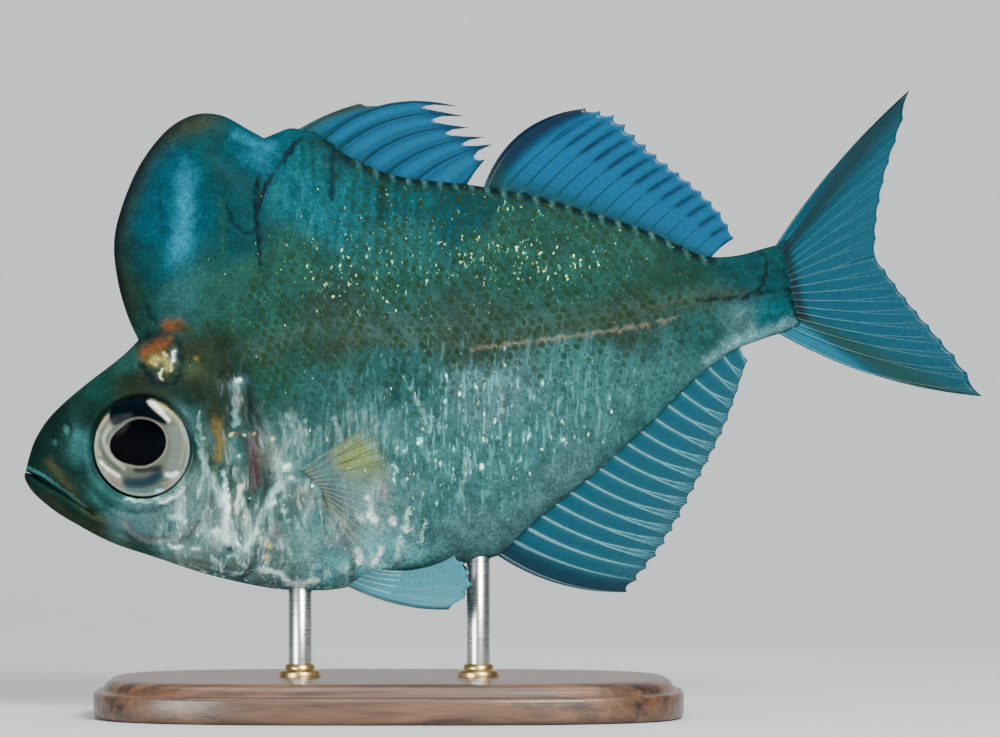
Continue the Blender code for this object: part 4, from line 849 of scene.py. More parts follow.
def wet_material(name, fine_scale, dark):
    """The painted skin, with mottling, flakes of silver, streaks, dots and glints under a thin wet coat."""
    wet = {"Coat_Weight": 0.006, "Coat_Roughness": 0.30, "Specular_IOR_Level": 0.035}
    made, wiring, shader = new_material(name, **wet)
    silver, sparkle, streaky = (wiring.attribute(mask) for mask in ("silver", "sparkle", "streaks"))
    coarse, fine = wiring.group("mottle", Scale=620.0), wiring.group("mottle", Scale=fine_scale)
    flakes, small = wiring.group("foil", Scale=520.0), wiring.group("foil", Scale=1500.0)
    flaked = wiring.times(flakes, silver)
    # Painted reflection on the silver: darker between its flakes, with painted highlights on the small ones
    flake_highlights = wiring.times(flaked, small)
    between = wiring.times(silver, wiring.maths("SUBTRACT", 1.0, flakes))

    base = wiring.scaled(wiring.attribute("tint", "Color"), wiring.spread(coarse, 0.0, 1.0, 0.80, 1.18))
    base = wiring.scaled(base, wiring.spread(fine, 0.0, 1.0, dark, 1.24))
    base = wiring.scaled(base, wiring.spread(between, 0.0, 1.0, 1.0, 0.52))
    pearl = wiring.times(silver, wiring.group("mottle", Scale=330.0))
    base = wiring.mixed(base, (0.17, 0.21, 0.17), wiring.times(pearl, 0.30))
    base = wiring.mixed(base, (0.28, 0.50, 0.48), wiring.times(flaked, 0.26))
    base = wiring.mixed(base, (0.76, 1.0, 0.92), wiring.times(flake_highlights, 0.34))
    streaked = wiring.times(wiring.group("streaks", Scale=760.0), streaky)
    base = wiring.mixed(base, (0.15, 0.50, 0.50), wiring.times(streaked, 0.34))
    rough = wiring.noise(wiring.place((1.0, 1.0, 0.55)), 3800.0, Detail=1.0)
    dots = wiring.maths("ADD", wiring.attribute("dark"), wiring.spread(rough, 0.3, 0.7, -0.35, 0.35))
    dots = wiring.spread(dots, 0.08, 1.16)
    base = wiring.mixed(base, (0.007, 0.020, 0.005), wiring.times(dots, 0.82))
    for scale, softness, share, colour in (
        (2300.0, 0.13, sparkle, (0.10, 0.34, 0.20)),
        (3300.0, 0.11, sparkle, (0.60, 0.86, 0.34)),
        (1300.0, 0.15, streaky, (0.30, 0.92, 0.90)),
        (2200.0, 0.12, streaky, (0.70, 1.0, 0.80)),
        (2600.0, 0.09, wiring.times(silver, 0.50), (1.0, 1.0, 0.94)),
    ):
        lit = wiring.group("glints", Scale=scale, Softness=softness, Share=share)
        base = wiring.mixed(base, colour, wiring.times(lit, 0.92))
    wiring.feed(shader["Base Color"], base)
    wiring.feed(shader["Roughness"], wiring.spread(flaked, 0.0, 1.0, 0.70, 0.36))
    height = wiring.maths("ADD", fine, flaked)
    wiring.feed(shader["Normal"], wiring.bump(height, 0.25, 0.0001))
    return made


def fin_material(name, roughness):
    """A clear web or ray, painted and made see-through by its attributes."""
    made, wiring, shader = new_material(name, Roughness=roughness, Specular_IOR_Level=0.18)
    patches = wiring.group("mottle", Scale=2600.0)
    shade = wiring.spread(patches, 0.0, 1.0, 0.58, 0.72)
    wiring.feed(shader["Base Color"], wiring.scaled(wiring.attribute("tint", "Color"), shade))
    wiring.feed(shader["Alpha"], wiring.attribute("cover"))
    wiring.feed(shader["Normal"], wiring.bump(patches, 0.25, 0.00005))
    return made


def walnut_material():
    """Dark wood with its grain along the base."""
    made, wiring, shader = new_material("walnut", Coat_Weight=0.3, Coat_Roughness=0.2)
    rings = wiring.noise(wiring.place((60.0, 900.0, 700.0)), Detail=6.0, Roughness=0.62, Distortion=0.6)
    figure = wiring.spread(rings, 0.34, 0.68)
    base = wiring.mixed((0.016, 0.007, 0.004, 1.0), (0.120, 0.056, 0.026), figure)
    wiring.feed(shader["Base Color"], base)
    pores = wiring.noise(wiring.place((700.0, 6000.0, 6000.0)), Detail=2.0)
    wiring.feed(shader["Roughness"], wiring.spread(pores, 0.0, 1.0, 0.34, 0.52))
    wiring.feed(shader["Normal"], wiring.bump(pores, 0.35, 0.00008))
    return made


def metal_material(name, colour, roughness):
    """Turned metal, with faint rings left by the tool."""
    made, wiring, shader = new_material(name, Base_Color=(*colour, 1.0), Metallic=1.0)
    rings = wiring.noise(wiring.place((150.0, 150.0, 9000.0)), Detail=2.0)
    wiring.feed(shader["Roughness"], wiring.spread(rings, 0.0, 1.0, roughness * 0.7, roughness * 1.3))
    wiring.feed(shader["Normal"], wiring.bump(rings, 0.2, 0.00003))
    return made


def iris_material():
    """The eye's painted disc, with fine streaks that run out from the pupil."""
    made, wiring, shader = new_material("silver_iris", Roughness=0.45, Specular_IOR_Level=0.0)
    turned_out = {"Vector": wiring.attribute("round_and_out", "Vector"), "Scale": (22.0, 1.6, 1.0)}
    fine = wiring.noise(wiring.add("ShaderNodeMapping", turned_out).outputs["Vector"], Detail=3.0)
    shade = wiring.spread(fine, 0.3, 0.7, 0.74, 1.00)
    wiring.feed(shader["Base Color"], wiring.scaled(wiring.attribute("tint", "Color"), shade))
    wiring.feed(shader["Metallic"], wiring.attribute("silver"))
    wiring.feed(shader["Normal"], wiring.bump(fine, 0.15, 0.00006))
    return made


def clear_material():
    """The clear front of the eye."""
    clear = {"Base_Color": (1.0, 1.0, 1.0, 1.0), "Roughness": 0.02, "IOR": 1.08, "Transmission_Weight": 1.0}
    return new_material("clear_cornea", **clear)[0]


def backdrop_material(colour):
    """One pale colour, clear from behind so that the sweep doesn't hide the fish from that side."""
    made, wiring, shader = new_material("pale_floor", Base_Color=(*colour, 1.0), Roughness=0.6)
    behind = wiring.add("ShaderNodeNewGeometry").outputs["Backfacing"]
    wiring.feed(shader["Alpha"], wiring.maths("SUBTRACT", 1.0, behind))
    return made


# Geometry node trees


def geometry_tree(name, inputs):
    """An empty geometry tree with named inputs after its mesh: the tree, its inputs and its last node."""
    tree = bpy.data.node_groups.new(name, "GeometryNodeTree")
    tree.interface.new_socket("Geometry", in_out="INPUT", socket_type="NodeSocketGeometry")
    for label, kind, value in inputs:
        socket = tree.interface.new_socket(label, in_out="INPUT", socket_type=kind)
        if value is not None:
            socket.default_value = value
    tree.interface.new_socket("Geometry", in_out="OUTPUT", socket_type="NodeSocketGeometry")
    return tree, tree.nodes.new("NodeGroupInput").outputs, tree.nodes.new("NodeGroupOutput")


def finish_tree(wiring, geometry, material, outlet):
    """Ends a tree by giving its mesh the material."""
    dress = wiring.add("GeometryNodeSetMaterial", {"Geometry": geometry, "Material": material})
    wiring.feed(outlet.inputs["Geometry"], dress.outputs["Geometry"])


def named(wiring, name, kind="FLOAT_VECTOR"):
    """The output of a node that reads an attribute by name."""
    return wiring.add("GeometryNodeInputNamedAttribute", {"Name": name}, data_type=kind).outputs["Attribute"]


def grown(source, tree, name, **values):
    """The plain mesh that a tree makes from a source object, which is then removed."""
    modifier = source.modifiers.new("grow", "NODES")
    modifier.node_group = tree
    for item in tree.interface.items_tree:
        if item.in_out == "INPUT" and item.name in values:
            modifier[item.identifier] = values[item.name]
    bpy.context.view_layer.update()
    graph = bpy.context.evaluated_depsgraph_get()
    mesh = bpy.data.meshes.new_from_object(source.evaluated_get(graph), depsgraph=graph)
    mesh.name = name
    made = bpy.data.objects.new(name, mesh)
    bpy.context.scene.collection.objects.link(made)
    bpy.data.objects.remove(source)
    return made


def scale_tree():
    """Sets a scale on each point of a mesh, lifted at its rear edge and tipped a little at random."""
    inputs = [
        ("Scale plate", "NodeSocketObject", None),
        ("Length", "NodeSocketFloat", SCALE_LENGTH * MM),
        ("Width", "NodeSocketFloat", SCALE_WIDTH * MM),
        ("Thickness", "NodeSocketFloat", SCALE_THICKNESS * MM),
        ("Lift", "NodeSocketFloat", math.radians(SCALE_LIFT_DEG)),
        ("Wobble", "NodeSocketFloat", math.radians(0.9)),
        ("Patch", "NodeSocketFloat", 0.003),
        ("Seed", "NodeSocketInt", SEED),
        ("Material", "NodeSocketMaterial", None),
    ]
    tree, given, outlet = geometry_tree("scales_on_skin", inputs)
    wiring = Wiring(tree)
    plate = wiring.add("GeometryNodeObjectInfo", {"Object": given["Scale plate"]}).outputs["Geometry"]
    facing = {"Primary Axis": named(wiring, "outward"), "Secondary Axis": named(wiring, "tailward")}
    axes = wiring.add("FunctionNodeAxesToRotation", facing, primary_axis="Z", secondary_axis="X")

    either_way = {"Min": wiring.times(given["Wobble"], -1.0), "Max": given["Wobble"], "Seed": given["Seed"]}
    wobble = wiring.add("FunctionNodeRandomValue", either_way, data_type="FLOAT_VECTOR")
    lift = wiring.add("ShaderNodeCombineXYZ", {"Y": wiring.times(given["Lift"], -1.0)}).outputs["Vector"]
    tipped = wiring.add("ShaderNodeVectorMath", {0: wobble.outputs["Value"], 1: lift}, operation="ADD")
    angle = wiring.add("FunctionNodeEulerToRotation", {"Euler": tipped.outputs["Vector"]})
    turns = {"Rotation": axes.outputs["Rotation"], "Rotate By": angle.outputs["Rotation"]}
    turn = wiring.add("FunctionNodeRotateRotation", turns, rotation_space="LOCAL")

    sides = {"X": given["Length"], "Y": given["Width"], "Z": given["Thickness"]}
    sizes = wiring.add("ShaderNodeCombineXYZ", sides).outputs["Vector"]
    placed = {
        "Points": given["Geometry"], "Instance": plate, "Rotation": turn.outputs["Rotation"],
        "Scale": wiring.scaled(sizes, named(wiring, "size", "FLOAT")),
    }
    place = wiring.add("GeometryNodeInstanceOnPoints", placed)
    real = wiring.add("GeometryNodeRealizeInstances", {"Geometry": place.outputs["Instances"]})
    patch = wiring.scaled(named(wiring, "on_plate"), given["Patch"])
    unwrapped = wiring.add("ShaderNodeVectorMath", {0: patch, 1: named(wiring, "root_uv")}, operation="ADD")
    kept = {"Geometry": real.outputs["Geometry"], "Name": "OFBake", "Value": unwrapped.outputs["Vector"]}
    store = wiring.add("GeometryNodeStoreNamedAttribute", kept, data_type="FLOAT2", domain="CORNER")
    finish_tree(wiring, store.outputs["Geometry"], given["Material"], outlet)
    return tree


def ray_tree():
    """Sweeps a small ring along lines of points, as thick as their thickness attribute says."""
    inputs = [("Sides", "NodeSocketInt", 6), ("Material", "NodeSocketMaterial", None)]
    tree, given, outlet = geometry_tree("rays_along_lines", inputs)
    wiring = Wiring(tree)
    lines = wiring.add("GeometryNodeMeshToCurve", {"Mesh": given["Geometry"]}).outputs["Curve"]
    thickness = named(wiring, "thickness", "FLOAT")
    thick = wiring.add("GeometryNodeSetCurveRadius", {"Curve": lines, "Radius": thickness}).outputs["Curve"]
    ring = wiring.add("GeometryNodeCurvePrimitiveCircle", {"Radius": 1.0, "Resolution": given["Sides"]})
    swept = {"Curve": thick, "Profile Curve": ring.outputs["Curve"], "Fill Caps": True}
    sweep = wiring.add("GeometryNodeCurveToMesh", swept)
    if "Scale" in sweep.inputs:
        wiring.feed(sweep.inputs["Scale"], thickness)
    soft = wiring.add("GeometryNodeSetShadeSmooth", {"Geometry": sweep.outputs["Mesh"]})
    real = wiring.add("GeometryNodeRealizeInstances", {"Geometry": soft.outputs["Geometry"]})
    finish_tree(wiring, real.outputs["Geometry"], given["Material"], outlet)
    return tree


# The skin


def grid_in(low, high, spacing):
    """Points of a triangular grid between two corners."""
    rows = np.arange(low[1], high[1], spacing * math.sqrt(0.75))
    columns = np.arange(low[0], high[0], spacing)
    return np.array([(x + spacing / 2 * (r % 2), y) for r, y in enumerate(rows) for x in columns])


def turns(count):
    """As many angles, evenly round a circle."""
    return np.linspace(0.0, 2 * math.pi, count, endpoint=False)


def circle(centre, radius, count):
    turn = turns(count)
    return np.column_stack([centre[0] + radius * np.cos(turn), centre[1] + radius * np.sin(turn)])


def body_rim(spacing):
    """The closed outline of the body in the side view."""
    lines = [evenly(line, spacing)[:-1] for line in (BACK, HUMP_EDGE)]
    rim = np.vstack([*lines, evenly(spline(FACE_LINE), spacing)])
    rim = rim[rim[:, 0] < TAIL_END - 0.15]
    return np.vstack([(TAIL_END, 3.9), rim, (TAIL_END, -4.6)])


def mouth_lips():
    """The upper and the lower lip's edges, a little open at the tip of the snout and then closed."""
    share = np.linspace(0.0, 1.0, 24)
    line = along(MOUTH, share * MOUTH_SLOT_SHARE)
    open_by = MOUTH_OPENING * (1 - share) ** 0.8
    return offset(line, open_by), offset(line, -open_by)


def skin_plan():
    """The side view of the skin as points and triangles, with which points lie on the outline."""
    rim = body_rim(0.3)
    closed = np.vstack([rim, rim[:1]])
    lips = mouth_lips()
    slot = np.vstack([lips[0], lips[1][::-1]])
    hole = circle(EYE_CENTRE, EYE_RADIUS - 0.12, ROUND_EYE)
    lines = [closed, *lips, np.vstack([hole, hole[:1]])]
    inner = [circle(EYE_CENTRE, EYE_RADIUS + away, ROUND_EYE) for away in (0.0, 0.12, 0.26, 0.42)]
    inner += [offset(lip, away) for lip in lips for away in (-0.14, 0.14, -0.3, 0.3)]
    closed_lips = along(MOUTH, np.linspace(MOUTH_SLOT_SHARE + 0.02, 1.0, 36))
    inner += [offset(closed_lips, away) for away in (-0.32, -0.2, -0.1, 0.0, 0.1, 0.2, 0.32)]
    inner += [offset(closed, depth)[:-1] for depth in (0.03, 0.12, 0.26, RIM_RINGS)]
    inner += [offset(evenly(GILL, 0.22), -away) for away in (-0.25, -0.1, 0.0, 0.1, 0.25, 0.45, 0.65, 0.9)]
    fixed = np.vstack(inner)
    grids = []
    for spacing, low, high in (
        (HEAD_SPACING, (-1.0, -19.0), (24.5, 10.6)),
        (HUMP_SPACING, (12.0, 9.0), (36.5, 31.5)),
        (TRUNK_SPACING, (18.0, -21.0), (TAIL_END, 28.5)),
    ):
        grid = grid_in(low, high, spacing)
        in_hump, in_head = inside(HUMP_AREA, *grid.T), inside(HEAD_AREA, *grid.T)
        in_hump |= inside(FOLD_AREA, *grid.T)
        wanted = {HEAD_SPACING: in_head & ~in_hump, HUMP_SPACING: in_hump, TRUNK_SPACING: ~in_hump & ~in_head}
        grid = grid[wanted[spacing]]
        grid = grid[inside(rim, *grid.T) & (distance_to(closed, *grid.T) > RIM_RINGS + 0.4 * spacing)]
        away = np.hypot(grid[:, 0] - EYE_CENTRE[0], grid[:, 1] - EYE_CENTRE[1])
        grid = grid[away > EYE_RADIUS + 0.42 + 0.5 * spacing]
        grid = grid[distance_to(GILL, *grid.T) > 0.3]
        grids.append(grid[distance_to(MOUTH, *grid.T) > 0.4])
    points = np.vstack([fixed, *grids])
    points = points[inside(rim, *points.T) & (distance_to(closed, *points.T) > 0.02)]
    points = points[~inside(slot, *points.T) & (distance_to(lips[0], *points.T) > 0.05)]
    points = points[distance_to(lips[1], *points.T) > 0.05]
    points = points[np.hypot(points[:, 0] - EYE_CENTRE[0], points[:, 1] - EYE_CENTRE[1]) > EYE_RADIUS - 0.06]

    corners, edges = [], []
    for line in lines:
        first = len(corners)
        corners.extend(map(tuple, line))
        edges.extend((first + i, first + i + 1) for i in range(len(line) - 1))
    corners.extend(map(tuple, points))
    found = delaunay_2d_cdt([Vector(p) for p in corners], edges, [], 0, 1e-4)
    plan, triangles = np.array([tuple(p) for p in found[0]]), np.array(found[2])
    middles = plan[triangles].mean(1)
    keep = inside(rim, *middles.T) & ~inside(slot, *middles.T)
    keep &= ~inside(hole, *middles.T)
    on_rim = (distance_to(closed, *plan.T) < 1e-3) & (plan[:, 0] < TAIL_END - 1e-3)
    return plan, triangles[keep], on_rim


def make_skin(look):
    """One skin over the whole body: two flanks joined along the outline, the mouth and the eyes' holes."""
    plan, triangles, on_rim = skin_plan()
    used = np.unique(triangles)
    half = np.maximum(skin_height(*plan[used].T), 0.05)
    count = len(used)
    left = np.full(len(plan), -1)
    left[used] = np.arange(count)
    right = left.copy()
    twin = used[~on_rim[used]]
    right[twin] = count + np.arange(len(twin))
    half_of = np.zeros(len(plan))
    half_of[used] = np.where(on_rim[used], 0.0, half)
    fish = np.vstack([
        np.column_stack([plan[used, 0], -half_of[used], plan[used, 1]]),
        np.column_stack([plan[twin, 0], half_of[twin], plan[twin, 1]]),
    ])
    faces = [(left[i], left[j], left[k]) for i, j, k in triangles]
    faces += [(right[i], right[k], right[j]) for i, j, k in triangles]
    sides = np.concatenate([triangles[:, [0, 1]], triangles[:, [1, 2]], triangles[:, [2, 0]]])
    known = {tuple(side) for side in sides}
    for p, q in known:
        if (q, p) not in known:
            wall = list(dict.fromkeys([left[q], left[p], right[p], right[q]]))
            if len(wall) > 2:
                faces.append(wall)
    skin = add_mesh("skin", to_world(fish), faces, look=look)
    paint_body(skin.data)
    return skin


# The scales


def plate_object():
    """One scale: a low shield one unit long and wide, its root in front, with a dot behind its middle."""
    dot_at = 0.12
    rings = [
        (10, 0.5, 0.5, 0.0, 0.0), (8, 0.43, 0.42, 0.8, 0.0),
        (6, 0.42 / SCALE_LENGTH, 0.46 / SCALE_WIDTH, 1.0, 0.0),
        (6, DOT_RADIUS / SCALE_LENGTH, 1.45 * DOT_RADIUS / SCALE_WIDTH, 1.0, 1.0),
    ]
    points, weights, edges = [], [], []
    for count, long, wide, level, weight in rings:
        first = len(points)
        for turn in turns(count):
            narrower = 0.86 if math.cos(turn) < 0 else 1.0
            forward = dot_at * (level > 0.9) + long * math.cos(turn)
            points.append((forward, narrower * wide * math.sin(turn), level))
            weights.append(weight)
        edges += [(first + i, first + (i + 1) % count) for i in range(count)]
    flat = [Vector((x, y)) for x, y, _ in points] + [Vector((dot_at, 0.0))]
    faces = [tuple(triangle) for triangle in delaunay_2d_cdt(flat, edges, [], 0, 1e-6)[2]]
    under = len(flat)
    points += [(dot_at, 0.0, 1.0), (0.0, 0.0, -0.6)]
    weights += [1.0, 0.0]
    faces += [((i + 1) % 10, i, under) for i in range(10)]
    plate = add_mesh("scale_plate", points, faces)
    for edge in plate.data.edges:
        edge.use_edge_sharp = max(edge.vertices) < 10
    set_attribute(plate.data, "on_plate", "FLOAT_VECTOR", [(x, y, 0.0) for x, y, _ in points])
    set_attribute(plate.data, "spot", "FLOAT", weights)
    return plate


def scale_rows():
    """Where the scales sit on one flank: rows along the body, a set way apart over the surface."""
    found = []
    low_edge = OUTLINE[:, 1].min() - 1
    high_edge = OUTLINE[:, 1].max() + 1
    levels = np.arange(low_edge, high_edge, 0.12)
    columns = np.arange(19.0, TAIL_END - 0.6, SCALE_STEP / 2)
    for number, a in enumerate(columns):
        across = np.full(len(levels), a)
        here = levels[inside(OUTLINE, across, levels)]
        c = half_thickness(np.full(len(here), a), here)
        arc = np.r_[0.0, np.cumsum(np.hypot(np.diff(here), np.diff(c)))]
        middle = np.interp(np.interp(a, *VERTEBRAE.T), here, arc)
        squeeze = 1.0 - 0.18 * smooth(62.0, 80.0, a)
        row_step = SCALE_ROW * squeeze
        first = int(np.ceil((BARE_EDGE - middle) / row_step))
        last = int(np.floor((arc[-1] - BARE_EDGE - middle) / row_step))
        for row in range(first, last + 1):
            if (row + number) % 2 == 0:
                at = middle + row * row_step
                found.append((a, np.interp(at, arc, here), at / arc[-1], squeeze))
    return np.array(found)


def make_scales(side, word, look, tree, plate):
    """The coat of scales on one flank, painted as the skin under it."""
    rows = scale_rows()
    coat = scaled_part(rows[:, 0], rows[:, 1])
    rows = rows[coat > 0.5]
    a, b, up, squeeze = rows.T
    random = np.random.default_rng(SEED)
    a, b = a + random.uniform(-0.10, 0.10, len(a)), b + random.uniform(-0.07, 0.07, len(a))
    step = 0.02
    c = half_thickness(a, b)
    slope_a = (half_thickness(a + step, b) - half_thickness(a - step, b)) / (2 * step)
    slope_b = (half_thickness(a, b + step) - half_thickness(a, b - step)) / (2 * step)
    outward = np.column_stack([-slope_a, np.full(len(a), float(side)), -slope_b])
    outward /= np.linalg.norm(outward, axis=1)[:, None]
    stations = np.linspace(19, 80, 200)
    fall = 0.6 * np.interp(a, stations, np.gradient(np.interp(stations, *VERTEBRAE.T), stations))
    tailward = np.column_stack([np.ones(len(a)), side * (slope_a + slope_b * fall), fall])
    coat = scaled_part(a, b)[:, None]
    sunk = 0.03 + 0.02 * (1 - coat)
    centre = np.column_stack([a, side * c, b]) - outward * sunk
    points = add_mesh(f"scale_points_{word}", to_world(centre))
    edge = np.minimum(distance_to(OUTLINE, a, b), 1.0)
    size = squeeze * (0.72 + 0.28 * edge) * (1 - 0.22 * smooth(74.0, 80.0, a))
    size *= random.uniform(0.95, 1.05, len(a))
    unwrap_v = 0.5 + side * (0.01 + 0.47 * up)
    root_uv = np.column_stack([0.02 + 0.96 * (a - 18.0) / 64.0, unwrap_v, np.zeros(len(a))])
    over_line = b - np.interp(a, *VERTEBRAE.T)
    dark = random.uniform(0.25, 1.25, len(a)) * smooth(-12.0, 0.5, over_line)
    dark *= 1 - 0.8 * smooth(66.0, 76.0, a)
    dark *= 1 - 0.9 * smooth(41.0, 33.0, a) * smooth(12.0, 18.0, b)
    for name, kind, values in (
        ("outward", "FLOAT_VECTOR", turned(outward)), ("tailward", "FLOAT_VECTOR", turned(tailward)),
        ("size", "FLOAT", size), ("root_uv", "FLOAT_VECTOR", root_uv),
        ("dark", "FLOAT", dark), ("shade", "FLOAT", random.uniform(0.84, 1.16, len(a))),
    ):
        set_attribute(points.data, name, kind, values)
    scales = grown(points, tree, f"scales_{word}", **{"Scale plate": plate, "Material": look})
    mesh = scales.data
    spot, dark, shade = (get_attribute(mesh, name) for name in ("spot", "dark", "shade"))
    paint_body(mesh, shade[:, None])
    set_attribute(mesh, "dark", "FLOAT", dark * spot)
    drop_attributes(mesh, "outward", "tailward", "size", "root_uv", "on_plate", "spot", "shade")
    return scales


# The eyes


def eye_frame(side):
    """The turned eye's middle, with its face in its opening, and its directions tailward, up and out."""
    surface = float(half_thickness(*EYE_CENTRE))
    middle = np.array([EYE_CENTRE[0], side * (surface + EYE_STANDS_OUT - EYE_HALF_DEPTH), EYE_CENTRE[1]])
    turn = Matrix.Rotation(side * EYE_YAW, 3, "Z") @ Matrix.Rotation(-side * EYE_ROLL, 3, "X")
    axes = [np.array(turn @ Vector(v)) for v in ((1, 0, 0), (0, 0, 1), (0, side, 0))]
    middle -= EYE_FACE_LEVEL * axes[2] * (1.0, 0.0, 1.0)
    return middle, axes


PUPIL = (-0.08, 0.66)
PUPIL_SIZE = (2.78, 2.40)


def pupil_edge(turn):
    """How far the pupil's edge is from its centre: an oval drawn out to a blunt point in front."""
    oval = 1 / np.sqrt((np.cos(turn) / PUPIL_SIZE[0]) ** 2 + (np.sin(turn) / PUPIL_SIZE[1]) ** 2)
    front = bell(np.abs(turn) - math.pi, 0.55)
    return oval * (1 + 0.10 * front - 0.05 * bell(np.abs(turn) - 2.2, 0.4))


# The eye's markings, u towards the tail and v up, in millimetres from its middle. The white strokes and the
# pale cyan one at the lower edge are painted highlights and glints.
WEDGE = np.array([
    (-2.45, 4.1), (-2.35, 3.4), (-2.0, 2.9), (-0.95, 3.15), (0.0, 3.15), (0.85, 3.0), (1.95, 2.55),
    (3.05, 1.75), (3.2, 2.1), (2.75, 2.8), (2.2, 3.5), (1.85, 4.1), (1.75, 4.6), (2.0, 5.4), (-2.2, 5.4),
])
IRIS_STROKES = [
    ((0.19, 0.085, 0.030), 0.90, 0.42, [(-2.95, 3.9), (-3.65, 3.3)]),
    ((0.46, 0.40, 0.24), 0.90, 0.13, [(-4.05, 2.7), (-4.2, 2.2)]),
    ((0.18, 0.19, 0.14), 0.75, 0.50, [(-4.3, 1.9), (-4.5, 0.8)]),
    ((0.46, 0.30, 0.24), 0.85, 0.16, [(-4.45, 0.75), (-4.3, 0.4)]),
    ((0.28, 0.23, 0.18), 0.85, 0.36, [(-4.1, -1.5), (-3.4, -2.3), (-2.6, -3.1)]),
    ((0.05, 0.06, 0.04), 0.60, 0.14, [(-3.95, 1.9), (-4.0, 0.9), (-3.6, -0.3), (-2.7, -1.5)]),
    ((0.34, 0.42, 0.34), 0.85, 0.20, [(-2.6, 2.9), (-3.4, 2.1), (-3.5, 1.0), (-3.1, -0.2), (-2.2, -1.5)]),
    # Painted highlight, low at the front of the ring
    ((1.00, 0.98, 0.92), 0.90, 0.19, [(-4.45, -0.3), (-4.1, -0.9), (-3.7, -1.4), (-2.95, -2.15)]),
    ((0.15, 0.16, 0.055), 0.95, 0.60, [(3.1, 4.2), (4.1, 3.0), (4.65, 1.7)]),
    ((0.42, 0.16, 0.025), 0.95, 0.24, [(1.9, 4.8), (2.6, 4.4)]),
    ((0.36, 0.29, 0.11), 0.85, 0.20, [(2.9, 4.2), (3.7, 3.3)]),
    # Painted highlight: the bright crescent at the upper rear
    ((1.00, 0.98, 0.84), 1.00, 0.30, [(2.15, 4.35), (2.5, 3.85), (2.85, 3.2)]),
    ((1.00, 0.98, 0.90), 1.00, 0.21, [(2.85, 3.2), (3.15, 2.7), (3.45, 2.2)]),
    ((0.33, 0.27, 0.16), 0.80, 0.20, [(4.5, 0.9), (4.4, -0.5), (3.9, -1.7), (3.3, -2.6)]),
    ((0.16, 0.20, 0.18), 0.75, 0.75, [(3.7, 0.9), (3.6, -0.9), (2.7, -2.3)]),
    ((0.045, 0.11, 0.11), 0.80, 0.22, [(4.7, 1.1), (4.75, -0.4), (4.2, -2.0), (3.35, -3.2)]),
    ((0.004, 0.026, 0.040), 0.96, 0.62, [(-2.3, -3.0), (-1.0, -3.35), (0.3, -3.3), (1.0, -2.95)]),
    ((0.05, 0.12, 0.13), 0.80, 0.26, [(-2.7, -3.7), (-0.8, -4.3), (0.9, -4.35)]),
    ((0.26, 0.21, 0.16), 0.70, 0.16, [(1.2, -4.0), (2.0, -3.9), (2.8, -3.7)]),
    ((0.001, 0.003, 0.006), 0.80, 0.34, [(-1.0, -1.95), (0.0, -2.15), (1.3, -2.3)]),
    # Painted glints low at the rear and at the lower edge
    ((1.00, 1.00, 1.00), 1.00, 0.26, [(1.95, -3.15), (2.35, -3.35), (2.85, -3.25)]),
    ((0.30, 0.70, 0.72), 0.95, 0.20, [(0.5, -4.6), (0.8, -4.6)]),
]


def iris_paint(u, v):
    """The colour of the eye's disc and how silvery it is, at u towards the tail and v up."""
    du, dv = u - PUPIL[0], v - PUPIL[1]
    reach = np.hypot(du, dv) / pupil_edge(np.arctan2(dv, du))
    out = np.hypot(u, v) / DISC_RADIUS
    colours = np.tile(np.array([0.105, 0.122, 0.095]), (len(u), 1))
    for colour, strength, width, line in IRIS_STROKES:
        share = near(spline(line), u, v, width)
        colours = blend(colours, colour, strength * (0.45 * crisp(share) + 0.55 * share))
    edge = distance_to(np.vstack([WEDGE, WEDGE[:1]]), u, v)
    wedge = smooth(-0.10, 0.10, np.where(inside(WEDGE, u, v), edge, -edge))
    colours = blend(colours, (0.001, 0.003, 0.006), wedge)
    colours = blend(colours, (0.42, 0.36, 0.27), 0.70 * bell(reach - 1.05, 0.025))
    colours = blend(colours, (0.26, 0.31, 0.27), 0.60 * (1 - wedge) * bell(out - 0.93, 0.03))
    margin = smooth(0.955, 0.99, out) * (0.6 + 0.4 * smooth(-2.0, 3.0, v))
    colours = blend(colours, (0.004, 0.007, 0.009), margin)
    pupil = smooth(1.02, 0.99, reach)
    colours = blend(colours, (0.0005, 0.001, 0.002), pupil)
    silver = 0.08 * (1 - pupil) * (1 - wedge) * (1 - smooth(0.93, 0.98, out))
    return colours, silver, np.arctan2(v, u), reach


